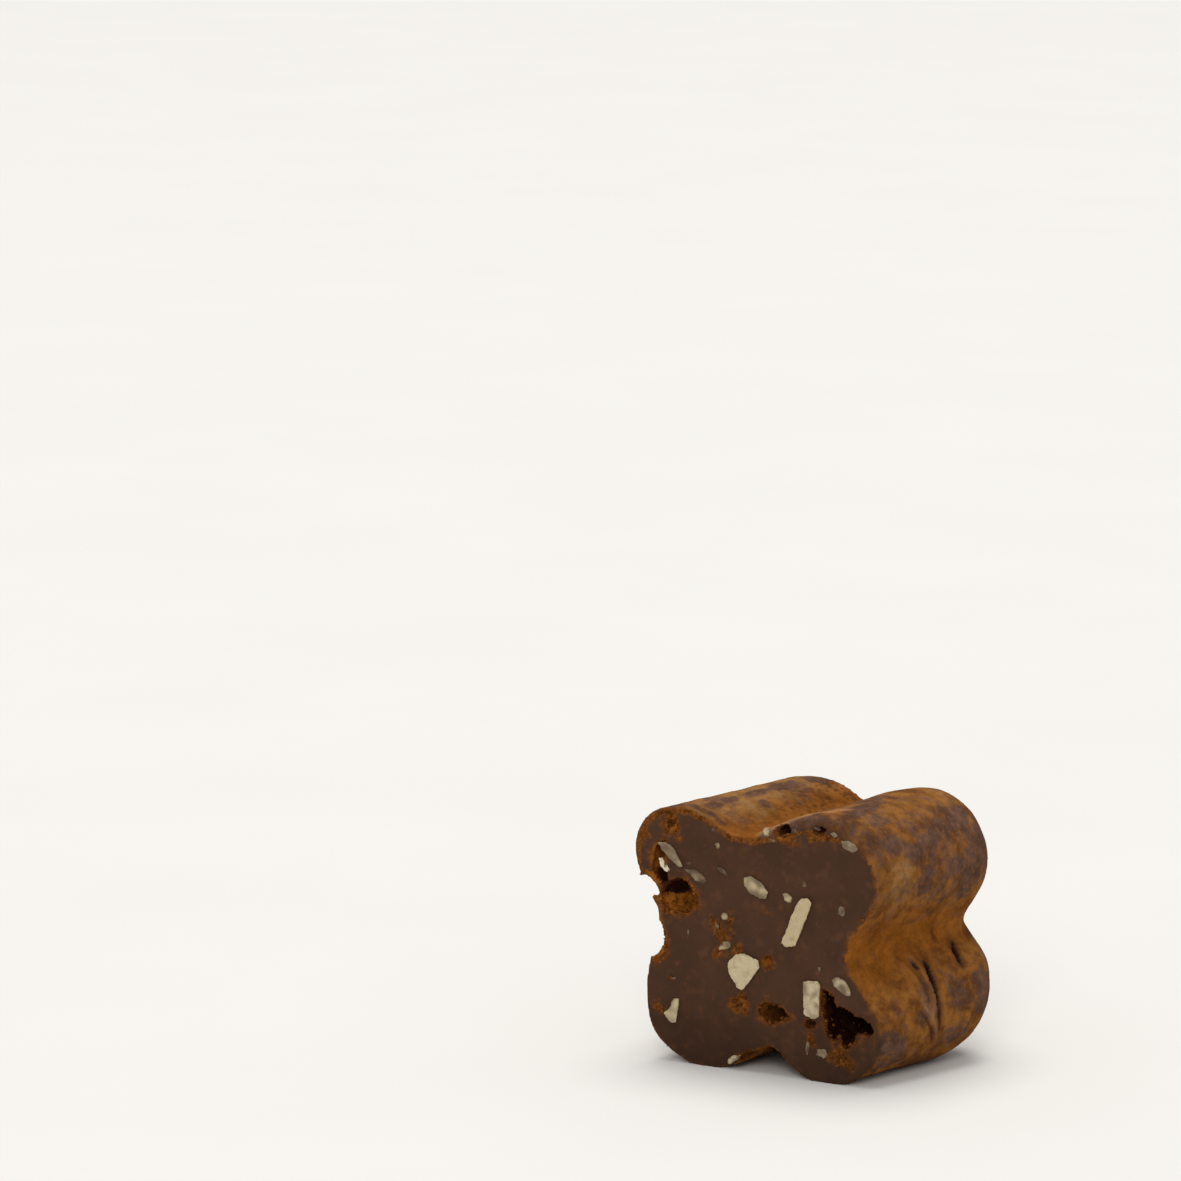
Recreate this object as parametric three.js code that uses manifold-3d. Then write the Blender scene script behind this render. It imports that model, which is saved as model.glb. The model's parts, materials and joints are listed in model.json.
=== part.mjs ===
// A cut piece of a chocolate truffle bar with chopped hazelnuts.
//
// The bar is pressed to a section of four uneven round lobes and rolled in cocoa.
// This piece has one flat cut end, set a little askew, and one rounded uncut end.
// Millimetres: X runs across the cut end, Y along the bar to the uncut end, Z is up.
import * as THREE from 'three';
import { mergeVertices } from 'three/addons/utils/BufferGeometryUtils.js';
import Module from 'manifold-3d';

const wasm = await Module();
wasm.setup();

// ---------------------------------------------------------------------------
// Driving dimensions
// ---------------------------------------------------------------------------

const LENGTH = 16.2; // at the middle, from the cut end to the uncut end
const CUT_SLANT = 10.4; // degrees: the right side of the cut end is set back
const END_SLANT = 3; // degrees
const END_RISE = 0.12; // how far the uncut end leans back for each millimetre of height
const END_ROUND = 3.8; // how far the uncut end's edge is rounded off
const END_BULGE = 0.5; // how far the middle of the uncut end stands out
const END_FACE = 4.4; // towards its middle, the uncut end turns from lobed to round at this reach
// The lobes whose uncut end is rounded off further, at these degrees clockwise from the top.
const BLUNTER_LOBES = [{ middle: 45, size: 1.1 }, { middle: 135, size: 1.85 }, { middle: 315, size: 0.2 }];
const BLUNT_SPREAD = 35; // degrees
const CUT_EDGE = 0.12; // the rounding of the cut end's edge
const WORN_EDGE = { size: 1.25, middle: 27, spread: 24 }; // more of it round the top right lobe, in degrees
const FOOT_DEPTH = 0.15; // how much of each lower lobe is pressed flat
const FULL_REACH = 10; // the reach of an unworked profile point on the outline
const CUT_Y = -LENGTH / 2; // the cut end's place along the bar
const ROUND_Y = LENGTH / 2 - END_ROUND; // where the uncut end's rounding starts

// Each lobe is a circle; a pair holds its value at the cut end and at the uncut end.
const LOBES = [
  { name: 'top left', x: [-6.45, -4.8], z: [16.0, 15.3], r: [2.95, 3.8] },
  { name: 'top right', x: [5.3, 5.5], z: [15.2, 14.65], r: [4.4, 4.95] },
  { name: 'bottom right', x: [5.65, 6.95], z: [4.13, 4.8], r: [4.13, 4.8] },
  { name: 'bottom left', x: [-3.65, -4.0], z: [4.9, 4.92], r: [4.9, 4.92] },
];

// How softly each lobe runs into the next one, clockwise from the top groove.
const GROOVES = [
  { name: 'top', soft: [9.85, 5.65] },
  { name: 'right', soft: [5.55, 3.1] },
  { name: 'bottom', soft: [2.35, 2.6] },
  { name: 'left', soft: [9.0, 5.75] },
];
const CORE = { x: 0.07, z: 9.65, r: 6.8, soft: 1.23 };

// Mesh fineness.
const SIDES = 80;
const CUT_RINGS = [0.34, 0.62, 0.8]; // shares of the reach
const EDGE_RINGS = [1.25, 0.7, 0.3, 0.08]; // millimetres from the cut end's edge
const SIDE_RINGS = 9;
const ROUND_RINGS = 6;
const END_RINGS = [0.55, 0.3];
const LARGE_LUMP = 3;
const SMALL_LUMP = 2;
const SMALL_SIZE = 1.8; // millimetres: lumps narrower than this are the plainer kind

// Slow waves left in the cocoa skin by hand rolling, and in the cut by the knife.
const SKIN_WAVE = { size: 6.5, height: 0.11, seed: 3 };
const CUT_WAVE = { size: 4.5, height: 0.06, seed: 8 };

// How uneven the small lumps are, as shares of their radius.
const LUMP_WAVE = 1.7; // the length of the waves, in radii
const ROUGH = { hollow: 0.28, crack: 0.2, dent: 0.1, nut: 0.12 };

// Hollows in the cut end: where they open, width and height, how deep they go, and how many
// degrees they are turned clockwise.
const HOLLOWS = [
  { name: 'side hollow', at: [-5.95, 12.45], size: [2.9, 2.8], deep: 1.8, turn: 0 },
  { name: 'side break', at: [-8.3, 13.05], size: [1.7, 1.8], deep: 0.9, turn: 10 },
  { name: 'lost flake', at: [-7.75, 9.1], size: [1.5, 2.8], deep: 1.1, turn: -6 },
  { name: 'lower hole, left', at: [6.05, 5.2], size: [1.5, 3.5], deep: 2.8, turn: -13 },
  { name: 'lower hole, middle', at: [7.1, 4.6], size: [2.4, 2.3], deep: 3.2, turn: 0 },
  { name: 'lower hole, right', at: [8.3, 4.6], size: [2.2, 1.35], deep: 2.6, turn: 20 },
  { name: 'lower hole, foot', at: [7.5, 3.55], size: [1.2, 1.6], deep: 1.6, turn: 0 },
  { name: 'lower slot', at: [1.5, 4.65], size: [2.3, 1.4], deep: 1.3, turn: 8 },
  { name: 'left slot', at: [-1.3, 5.0], size: [0.8, 1.0], deep: 0.6, turn: 0 },
  { name: 'pit beside the chunk', at: [1.1, 8.4], size: [0.6, 0.8], deep: 0.5, turn: 0 },
  { name: 'pit under the block', at: [4.5, 4.3], size: [1.0, 0.6], deep: 0.7, turn: 15 },
  { name: 'bottom recess', at: [-0.1, 1.3], size: [2.2, 0.8], deep: 0.9, turn: -10 },
  { name: 'top left pit', at: [-6.7, 17.7], size: [0.7, 0.9], deep: 0.7, turn: 20 },
  { name: 'top edge pit, left', at: [2.2, 18.1], size: [1.4, 0.9], deep: 1.1, turn: -12 },
  { name: 'top edge pit, right', at: [5.1, 18.5], size: [1.1, 0.6], deep: 0.9, turn: 0 },
];

// A curved hollow: a path on the cut end, and the width and depth of the lump that leaves it.
const CHANNEL = { path: [[-6.9, 13.3], [-7.5, 14.3], [-7.5, 15.6], [-7.0, 16.3]], wide: 0.95, deep: 1.3 };

// Cracks in the cocoa skin, between two places that are each given as degrees clockwise from
// the top and as the distance along the bar. A crack bows along the bar at its middle.
const CRACKS = [
  { name: 'long crack', from: [99.5, -0.45], to: [121, -0.8], bow: -0.5, wide: 0.4, deep: 0.8 },
  { name: 'short crack', from: [94.5, 3.4], to: [103.5, 2.7], bow: -0.15, wide: 0.4, deep: 0.6 },
  { name: 'pinprick', from: [99.5, -1.85], to: [102, -1.65], bow: 0, wide: 0.3, deep: 0.4 },
];

// Shallow dents in the skin: place as above, length along the bar and round it.
const DENTS = [
  { name: 'groove dent', at: [94.7, -2.5], size: [1.2, 0.9], deep: 0.25 },
  { name: 'lower left dent', at: [210, 3.0], size: [2.4, 1.6], deep: 0.3 },
  { name: 'left dent', at: [268, -2.5], size: [2.0, 2.6], deep: 0.3 },
];

// Nut pieces in the cut end: centre, width and height, degrees clockwise, and how far each
// stands out.
const NUTS = [
  { name: 'rod', at: [3.5, 11.75], size: [1.25, 3.95], turn: 22, proud: 0.25 },
  { name: 'chunk', at: [-0.65, 7.75], size: [2.4, 2.5], turn: 20, proud: 0.3 },
  { name: 'block', at: [4.65, 6.1], size: [1.3, 2.8], turn: 0, proud: 0.25 },
  { name: 'oval', at: [0.3, 13.9], size: [2.05, 1.25], turn: 27, proud: 0.2 },
  { name: 'long chip', at: [-6.4, 15.4], size: [2.8, 0.95], turn: 40, proud: 0.2 },
  { name: 'slanted chip', at: [-4.45, 14.1], size: [1.8, 0.85], turn: 20, proud: 0.12 },
  { name: 'top right chip', at: [7.4, 17.6], size: [1.3, 1.0], turn: 30, proud: 0.12 },
  { name: 'lower right chip', at: [7.1, 7.35], size: [2.0, 1.05], turn: 40, proud: 0.15 },
  { name: 'wedge', at: [-6.45, 3.95], size: [1.25, 2.0], turn: 14, proud: 0.2 },
  { name: 'bottom left chip', at: [-1.5, 1.0], size: [1.1, 0.7], turn: -35, proud: 0.12 },
  { name: 'bottom right chip', at: [5.6, 2.4], size: [1.2, 0.8], turn: 10, proud: 0.12 },
  { name: 'sliver', at: [4.4, 2.35], size: [0.5, 1.0], turn: 10, proud: 0.1 },
  { name: 'middle left chip', at: [-2.15, 9.45], size: [1.0, 0.6], turn: -20, proud: 0.12 },
  { name: 'thin upright chip', at: [-2.95, 10.8], size: [0.4, 1.5], turn: -15, proud: 0.1 },
];

// The natural colours of the piece.
const COCOA = new THREE.MeshStandardMaterial({ color: 0x73451e, roughness: 0.95, metalness: 0 });

// ---------------------------------------------------------------------------
// Outline of the section
// ---------------------------------------------------------------------------

// The share of the way from the cut end (0) to the uncut end (1).
function along(y) {
  return THREE.MathUtils.clamp(y / LENGTH + 0.5, 0, 1);
}

function between(pair, share) {
  return THREE.MathUtils.lerp(pair[0], pair[1], share);
}

// The smaller of two distances, with their meeting rounded over a width.
function softMin(a, b, width) {
  const h = THREE.MathUtils.clamp(0.5 + (0.5 * (b - a)) / width, 0, 1);
  return THREE.MathUtils.lerp(b, a, h) - width * h * (1 - h);
}

// How far a point lies outside the section at a share of the length; inside is negative.
function outside(x, z, share) {
  const gaps = LOBES.map((lobe) => {
    const reach = Math.hypot(x - between(lobe.x, share), z - between(lobe.z, share));
    return reach - between(lobe.r, share);
  });
  const joined = GROOVES.map((groove, i) => {
    return softMin(gaps[i], gaps[(i + 1) % gaps.length], between(groove.soft, share));
  });
  const core = Math.hypot(x - CORE.x, z - CORE.z) - CORE.r;
  return softMin(Math.min(...joined), core, CORE.soft);
}

// The outline's distance from the middle, in a direction clockwise from straight up.
function outlineReach(angle, share) {
  const xStep = Math.sin(angle);
  const zStep = Math.cos(angle);
  let inner = 0;
  let outer = 1.5 * FULL_REACH;
  for (let halving = 0; halving < 24; halving += 1) {
    const reach = (inner + outer) / 2;
    if (outside(CORE.x + reach * xStep, CORE.z + reach * zStep, share) < 0) {
      inner = reach;
    } else {
      outer = reach;
    }
  }
  return inner;
}

// A smooth uneven value from -1 to 1: four crossed waves whose directions follow a seed.
function uneven(point, wave) {
  const GOLDEN_TURN = 2.39996;
  let sum = 0;
  for (let k = 0; k < 4; k += 1) {
    const turn = GOLDEN_TURN * (wave.seed + k);
    const rise = Math.cos(1.7 * (wave.seed + k));
    const flat = Math.sqrt(1 - rise * rise);
    const across = flat * (Math.cos(turn) * point.x + Math.sin(turn) * point.y) + rise * point.z;
    sum += Math.sin((2 * Math.PI * across) / wave.size + turn);
  }
  return sum / 4;
}

// How far the piece leans along Y for each millimetre of X, at the cut end and at the uncut end.
const LEAN = [CUT_SLANT, END_SLANT].map((degrees) => Math.tan(THREE.MathUtils.degToRad(degrees)));

// ---------------------------------------------------------------------------
// Places on the piece
// ---------------------------------------------------------------------------

const CUT_NORMAL = new THREE.Vector3(LEAN[0], -1, 0).normalize();

// A point of the piece, from its direction round the bar, its distance along it and its reach.
function atReach(angle, y, reach) {
  const share = along(y);
  const x = Math.sin(angle) * reach;
  const z = Math.cos(angle) * reach;
  return new THREE.Vector3(CORE.x + x, y + between(LEAN, share) * x + END_RISE * share * z, CORE.z + z);
}

// A point on the cut end, or a distance under its surface.
function onCut([x, z], under = 0) {
  const point = new THREE.Vector3(x, CUT_Y + LEAN[0] * (x - CORE.x), z);
  return point.addScaledVector(CUT_NORMAL, -under);
}

// A point on the skin at an angle round the bar and a distance along it, or a distance under it.
function onSkin([degrees, y], under = 0) {
  const angle = THREE.MathUtils.degToRad(degrees);
  return atReach(angle, y, outlineReach(angle, along(y)) - under);
}

function skinNormal(point) {
  return new THREE.Vector3(point.x - CORE.x, 0, point.z - CORE.z).normalize();
}

// ---------------------------------------------------------------------------
// Closed solids
// ---------------------------------------------------------------------------

// One closed shell with shared corners and no collapsed triangles.
function shell(geometry) {
  const bare = geometry.clone();
  bare.deleteAttribute('normal');
  bare.deleteAttribute('uv');
  const merged = mergeVertices(bare, 1e-4);
  const corners = merged.index.array;
  const kept = [];
  for (let i = 0; i < corners.length; i += 3) {
    const [a, b, c] = [corners[i], corners[i + 1], corners[i + 2]];
    if (a !== b && b !== c && c !== a) kept.push(a, b, c);
  }
  merged.setIndex(kept);
  return merged;
}

function moveCorners(geometry, move) {
  const places = geometry.attributes.position;
  const point = new THREE.Vector3();
  for (let i = 0; i < places.count; i += 1) {
    point.fromBufferAttribute(places, i);
    move(point);
    places.setXYZ(i, point.x, point.y, point.z);
  }
  return geometry;
}

function toSolid(geometry) {
  const vertProperties = new Float32Array(geometry.attributes.position.array);
  const triVerts = new Uint32Array(geometry.index.array);
  const solid = new wasm.Manifold(new wasm.Mesh({ numProp: 3, vertProperties, triVerts }));
  if (solid.volume() <= 0) throw new Error('a shell faces inwards');
  return solid;
}

function toGeometry(solid) {
  const mesh = solid.getMesh();
  const geometry = new THREE.BufferGeometry();
  geometry.setAttribute('position', new THREE.BufferAttribute(new Float32Array(mesh.vertProperties), 3));
  geometry.setIndex(new THREE.BufferAttribute(new Uint32Array(mesh.triVerts), 1));
  return geometry;
}

function fineness(size) {
  return Math.min(...size) < SMALL_SIZE ? SMALL_LUMP : LARGE_LUMP;
}

// A lumpy ball of radius 1.
function lump(detail, seed, roughness) {
  const ball = shell(new THREE.IcosahedronGeometry(1, detail));
  return moveCorners(ball, (point) => {
    point.multiplyScalar(1 + roughness * uneven(point, { size: LUMP_WAVE, seed }));
  });
}

// ---------------------------------------------------------------------------
// The bar
// ---------------------------------------------------------------------------

// The profile from the middle of the cut end, along the side, to the middle of the uncut end.
function barProfile() {
  const profile = [new THREE.Vector2(0, CUT_Y)];
  for (const share of CUT_RINGS) profile.push(new THREE.Vector2(share * FULL_REACH, CUT_Y));
  for (const gap of EDGE_RINGS) profile.push(new THREE.Vector2(FULL_REACH - gap, CUT_Y));
  for (const gap of EDGE_RINGS.toReversed()) profile.push(new THREE.Vector2(FULL_REACH, CUT_Y + gap));
  for (let ring = 1; ring <= SIDE_RINGS; ring += 1) {
    const y = THREE.MathUtils.lerp(CUT_Y + EDGE_RINGS[0], ROUND_Y, ring / SIDE_RINGS);
    profile.push(new THREE.Vector2(FULL_REACH, y));
  }
  for (let ring = 1; ring <= ROUND_RINGS; ring += 1) {
    const turn = (ring / ROUND_RINGS) * (Math.PI / 2);
    const reach = FULL_REACH - END_ROUND * (1 - Math.cos(turn));
    profile.push(new THREE.Vector2(reach, ROUND_Y + END_ROUND * Math.sin(turn)));
  }
  for (const share of END_RINGS) {
    const bulge = END_BULGE * (1 - share * share);
    profile.push(new THREE.Vector2(share * (FULL_REACH - END_ROUND), LENGTH / 2 + bulge));
  }
  profile.push(new THREE.Vector2(0, LENGTH / 2 + END_BULGE));
  return profile;
}

// A hump that falls off to both sides of a direction; higher powers give it a flatter top.
function humpAt(angle, middle, spread, power) {
  const off = (THREE.MathUtils.radToDeg(angle) - middle) / spread;
  const turns = 360 / spread;
  return Math.exp(-(Math.abs(off - turns * Math.round(off / turns)) ** power));
}

// The rounding of the cut end's edge, in a direction clockwise from straight up.
function edgeRound(angle) {
  return CUT_EDGE + WORN_EDGE.size * humpAt(angle, WORN_EDGE.middle, WORN_EDGE.spread, 4);
}

// The rounding of the uncut end, in a direction clockwise from straight up.
function endRound(angle) {
  const more = BLUNTER_LOBES.map((lobe) => lobe.size * humpAt(angle, lobe.middle, BLUNT_SPREAD, 2));
  return more.reduce((sum, size) => sum + size, END_ROUND);
}

// The distance along the bar of a profile point, where the uncut end is rounded off by a size.
function drawnY(y, round) {
  if (y < 0 || y > LENGTH / 2) return y;
  if (y < ROUND_Y) return (y * (LENGTH / 2 - round)) / ROUND_Y;
  return LENGTH / 2 - ((LENGTH / 2 - y) * round) / END_ROUND;
}

// How far in from the outline a profile point lies: near the side by its own distance in
// millimetres, further in by its share of what is left.
function drawnInset(nominal, fullReach, round) {
  const inset = FULL_REACH - nominal;
  if (inset < END_ROUND) return (inset * round) / END_ROUND;
  const share = nominal / (FULL_REACH - END_ROUND);
  return fullReach - share * THREE.MathUtils.lerp(END_FACE, fullReach - round, share);
}

// A place on a rounded edge: how far it lies in from the side and back from the cut end.
// The turn runs from 0 at the cut end to a quarter turn at the side.
function roundedEdge(radius, turn) {
  return { inset: radius * (1 - Math.sin(turn)), back: radius * (1 - Math.cos(turn)) };
}

// Where a point of the unrounded bar comes to lie, given its distances from the sharp edge.
function eased(inset, back, radius) {
  const gap = Math.max(inset, back);
  if (gap >= radius) return { inset, back };
  const swing = (1 - gap / radius) * (Math.PI / 4);
  return roundedEdge(radius, inset > back ? swing : Math.PI / 2 - swing);
}

// A turned shape whose every ring is drawn out to the lobed outline, then leaned and made uneven.
function barSolid() {
  const SKIN_EDGE = 1; // how far in over the cut end the waves of the skin fade out
  const turned = shell(new THREE.LatheGeometry(barProfile(), SIDES));
  moveCorners(turned, (point) => {
    const nominal = Math.hypot(point.x, point.z);
    const angle = Math.atan2(point.x, point.z);
    const round = point.y < 0 ? END_ROUND : endRound(angle);
    const drawn = drawnY(point.y, round);
    const fullReach = outlineReach(angle, along(drawn));
    const inset = drawnInset(nominal, fullReach, round);
    const edge = eased(inset, drawn - CUT_Y, edgeRound(angle));
    const onCutEnd = drawn - CUT_Y < EDGE_RINGS.at(-1) / 2;
    const cutLift = onCutEnd ? CUT_WAVE.height * uneven(point, CUT_WAVE) : 0;
    const fade = onCutEnd ? THREE.MathUtils.smoothstep(SKIN_EDGE - inset, 0, SKIN_EDGE) : 1;
    const skinLift = fade * SKIN_WAVE.height * uneven(point, SKIN_WAVE);
    // The skin waves stand out sideways on the side and endways on the uncut end.
    const endways = THREE.MathUtils.clamp((point.y - ROUND_Y) / END_ROUND, 0, 1);
    const reach = fullReach - edge.inset + skinLift * Math.sqrt(1 - endways ** 2);
    point.copy(atReach(angle, CUT_Y + edge.back - cutLift + skinLift * endways, reach));
  });
  return toSolid(turned);
}

// ---------------------------------------------------------------------------
// Hollows, cracks and nuts
// ---------------------------------------------------------------------------

// Turn a lump's own X, Y, Z to a width, a depth and a height direction, and move it to a place.
function placeLump(geometry, place, outward, turnDegrees) {
  const up = new THREE.Vector3(0, 0, 1);
  const width = new THREE.Vector3().crossVectors(up, outward).normalize();
  const height = new THREE.Vector3().crossVectors(outward, width).normalize();
  const frame = new THREE.Matrix4().makeBasis(width, outward.clone().negate(), height);
  const turn = new THREE.Matrix4().makeRotationY(THREE.MathUtils.degToRad(turnDegrees));
  geometry.applyMatrix4(turn).applyMatrix4(frame);
  return geometry.translate(place.x, place.y, place.z);
}

function hollowCutter(hollow, seed) {
  const SUNK = 0.3; // the share of the depth at which the lump's middle lies
  const form = lump(fineness(hollow.size), seed, ROUGH.hollow);
  form.scale(hollow.size[0] / 2, hollow.deep * (1 - SUNK), hollow.size[1] / 2);
  return toSolid(placeLump(form, onCut(hollow.at, hollow.deep * SUNK), CUT_NORMAL, hollow.turn));
}

function dentCutter(dent, seed) {
  const HALF = 0.6; // half the thickness of a flat lump that lies mostly outside the skin
  const place = onSkin(dent.at, dent.deep - HALF);
  // Where the lump meets the skin, it has only this share of its full width.
  const met = Math.sqrt(1 - (1 - dent.deep / HALF) ** 2);
  const form = lump(SMALL_LUMP, seed, ROUGH.dent);
  form.scale(dent.size[0] / 2 / met, HALF, dent.size[1] / 2 / met);
  return toSolid(placeLump(form, place, skinNormal(place), 0));
}

// A lump drawn out along a path, so that it thins towards both ends.
function drawnLump(places, outwardAt, wide, deep, seed) {
  const path = new THREE.CatmullRomCurve3(places);
  const form = lump(LARGE_LUMP, seed, ROUGH.crack);
  moveCorners(form, (point) => {
    const share = THREE.MathUtils.clamp((point.z + 1) / 2, 0, 1);
    const middle = path.getPoint(share);
    const forward = path.getTangent(share);
    const outward = outwardAt(middle);
    const aside = new THREE.Vector3().crossVectors(outward, forward).normalize();
    const { x, y } = point;
    point.copy(middle).addScaledVector(aside, (x * wide) / 2).addScaledVector(outward, y * deep);
  });
  return toSolid(form);
}

function channelCutter(seed) {
  const places = CHANNEL.path.map((at) => onCut(at));
  return drawnLump(places, () => CUT_NORMAL, CHANNEL.wide, CHANNEL.deep, seed);
}

function crackCutter(crack, seed) {
  const STEPS = 8;
  const places = [];
  for (let step = 0; step <= STEPS; step += 1) {
    const share = step / STEPS;
    const degrees = THREE.MathUtils.lerp(crack.from[0], crack.to[0], share);
    const bow = crack.bow * Math.sin(Math.PI * share);
    places.push(onSkin([degrees, THREE.MathUtils.lerp(crack.from[1], crack.to[1], share) + bow]));
  }
  return drawnLump(places, skinNormal, crack.wide, crack.deep, seed);
}

// A chopped nut: a blunt, slightly uneven lump, most of it sunk in the cut end.
function nutSolid(nut, seed) {
  const DEPTH = 0.9;
  const form = lump(fineness(nut.size), seed, ROUGH.nut);
  moveCorners(form, (point) => {
    // Squared off, as a broken nut is, with a nearly flat front.
    const square = Math.max(Math.abs(point.x), Math.abs(point.z), Math.abs(point.y));
    point.multiplyScalar(1 / Math.sqrt(square));
  });
  form.scale(nut.size[0] / 2, DEPTH / 2, nut.size[1] / 2);
  return toSolid(placeLump(form, onCut(nut.at, DEPTH / 2 - nut.proud), CUT_NORMAL, nut.turn));
}

// ---------------------------------------------------------------------------
// The whole piece
// ---------------------------------------------------------------------------

// A wide slab whose top is the plane that the lower lobes are pressed flat on.
function tableSolid() {
  const SLAB = { side: 60, thick: 10 };
  const slab = new THREE.BoxGeometry(SLAB.side, SLAB.side, SLAB.thick);
  return toSolid(shell(slab.translate(0, 0, FOOT_DEPTH - SLAB.thick / 2)));
}

// The lumps that stay attached to the largest body.
function largestOf(solid) {
  const bodies = solid.decompose();
  return bodies.reduce((best, body) => (body.volume() > best.volume() ? body : best));
}

function truffleSolid() {
  let solid = barSolid();
  HOLLOWS.forEach((hollow, i) => {
    solid = solid.subtract(hollowCutter(hollow, 11 + i));
  });
  solid = solid.subtract(channelCutter(31));
  CRACKS.forEach((crack, i) => {
    solid = solid.subtract(crackCutter(crack, 41 + i));
  });
  DENTS.forEach((dent, i) => {
    solid = solid.subtract(dentCutter(dent, 51 + i));
  });
  NUTS.forEach((nut, i) => {
    solid = solid.add(nutSolid(nut, 61 + i));
  });
  return largestOf(solid.subtract(tableSolid()));
}

// Stand the piece on Z = 0 with the middle of its box over the origin.
function stood(geometry) {
  geometry.computeBoundingBox();
  const { min, max } = geometry.boundingBox;
  return geometry.translate(-(min.x + max.x) / 2, -(min.y + max.y) / 2, -min.z);
}

const truffle = new THREE.Mesh(stood(toGeometry(truffleSolid())), COCOA);
truffle.name = 'truffle';

const piece = new THREE.Group();
piece.add(truffle);

export default piece;
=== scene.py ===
# %% [markdown]
# # A cut chocolate truffle
#
# The sweet is a short bar of soft chocolate paste with chopped hazelnuts, pressed to a section of
# four round lobes, rolled in cocoa powder, and cut across with a knife. This notebook dresses the
# CAD solid of it. It works in millimetres, because the smallest crumbs are a tenth of one, and
# turns each finished piece to metres at the end.

# %% Load the frame
import json
import math
import random

import bmesh
import bpy
import numpy as np
from mathutils import Matrix, Vector, noise
from mathutils.bvhtree import BVHTree
from mathutils.kdtree import KDTree

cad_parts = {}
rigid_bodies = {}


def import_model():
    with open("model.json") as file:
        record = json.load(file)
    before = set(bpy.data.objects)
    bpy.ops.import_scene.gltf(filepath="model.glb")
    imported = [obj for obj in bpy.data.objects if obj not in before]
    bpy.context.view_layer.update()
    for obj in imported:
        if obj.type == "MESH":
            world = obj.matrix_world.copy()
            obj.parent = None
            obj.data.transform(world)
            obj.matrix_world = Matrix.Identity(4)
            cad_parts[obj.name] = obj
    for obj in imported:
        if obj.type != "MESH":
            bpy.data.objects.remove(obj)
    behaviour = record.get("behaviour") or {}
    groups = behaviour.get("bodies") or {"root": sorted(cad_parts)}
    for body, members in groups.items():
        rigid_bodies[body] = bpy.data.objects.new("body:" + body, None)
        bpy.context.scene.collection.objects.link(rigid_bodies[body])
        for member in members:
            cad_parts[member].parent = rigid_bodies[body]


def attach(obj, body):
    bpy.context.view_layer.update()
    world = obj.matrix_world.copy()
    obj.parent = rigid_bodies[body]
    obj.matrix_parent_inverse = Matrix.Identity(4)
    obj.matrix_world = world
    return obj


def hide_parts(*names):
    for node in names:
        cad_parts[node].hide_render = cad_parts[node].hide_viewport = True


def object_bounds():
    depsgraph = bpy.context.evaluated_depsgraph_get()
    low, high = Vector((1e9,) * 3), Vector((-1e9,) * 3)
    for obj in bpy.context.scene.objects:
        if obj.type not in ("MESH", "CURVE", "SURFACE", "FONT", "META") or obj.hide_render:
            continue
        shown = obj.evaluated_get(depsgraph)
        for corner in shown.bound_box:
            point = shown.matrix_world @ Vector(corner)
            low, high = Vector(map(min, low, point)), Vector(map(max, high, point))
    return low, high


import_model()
cad_low, cad_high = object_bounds()
MM = 0.001
print("CAD box in mm:", [round(v / MM, 2) for v in (*cad_low, *cad_high)])

# %% [markdown]
# ## The sizes of the bar
#
# Each lobe is a circle that changes a little along the bar, because a hand pressed it. A pair
# gives the value at the cut end and at the far end. The four circles run softly into each other,
# and how softly is a width in millimetres: a small one leaves a sharp groove. Lists of alike
# things are kept as tables, whose first line names the columns.

# %% Driving sizes
def table(columns, *rows):
    return [dict(zip(columns.split(), row)) for row in rows]


LENGTH = 16.2  # at the middle, from the cut end to the uncut end
CUT_SLANT = math.radians(10.4)  # the right side of the cut end is set back
END_SLANT = math.radians(3)
END_RISE = 0.12  # how far the uncut end leans back for each millimetre of height
END_ROUND = 3.8  # how far the uncut end's edge is rounded off
END_BULGE = 0.5  # how far the middle of the uncut end stands out
END_FACE = 4.4  # the reach at which the uncut end turns from lobed to round
BLUNTER_LOBES = ((45, 1.1), (135, 1.85), (315, 0.2))  # degrees from the top, and more rounding there
BLUNT_SPREAD = 35
CUT_EDGE = 0.12  # the rounding of the cut end's edge
WORN_EDGE = {"size": 1.25, "middle": 27, "spread": 24}  # more of it, round the top right lobe
FOOT_DEPTH = 0.15  # how much of each lower lobe is pressed flat
FULL_REACH = 10  # the reach of a profile point that lies on the outline
FURTHEST = 15.0  # no outline is this far from the middle
HALVINGS = 22  # halving that so often finds an outline to a few millionths of a millimetre
LOBES = table(
    "x z r",
    ((-6.45, -4.8), (16.0, 15.3), (2.95, 3.8)),
    ((5.3, 5.5), (15.2, 14.65), (4.4, 4.95)),
    ((5.65, 6.95), (4.13, 4.8), (4.13, 4.8)),
    ((-3.65, -4.0), (4.9, 4.92), (4.9, 4.92)),
)
GROOVES = ((9.85, 5.65), (5.55, 3.1), (2.35, 2.6), (9.0, 5.75))
CORE = {"x": 0.07, "z": 9.65, "r": 6.8, "soft": 1.23}
SKIN_WAVE = {"size": 6.5, "height": 0.11, "seed": 3}
CUT_WAVE = {"size": 4.5, "height": 0.06, "seed": 8}
WAVES = 4  # how many waves make a surface uneven
WAVE_TURN, WAVE_RISE = 2.39996, 1.7  # radians from one wave's direction to the next one's
LEAN = (math.tan(CUT_SLANT), math.tan(END_SLANT))
CUT_Y = -LENGTH / 2
ROUND_Y = LENGTH / 2 - END_ROUND
print("the bar is", LENGTH, "mm long and leans by", [round(v, 3) for v in LEAN])


# %% [markdown]
# ## The outline of the section
#
# Whether a point lies inside the section is easy to say: it is the smallest of its distances to
# the four circles, with the corners between them rounded. The outline is then found by halving,
# along a ray from the middle. Everything here works on whole arrays of points at once.


# %% The section as a function
def mix(pair, share):
    return pair[0] + (pair[1] - pair[0]) * share


def ramp(low, high, value):
    t = np.clip((value - low) / (high - low), 0, 1)
    return t * t * (3 - 2 * t)


def along(y):
    return np.clip(y / LENGTH + 0.5, 0, 1)


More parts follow.
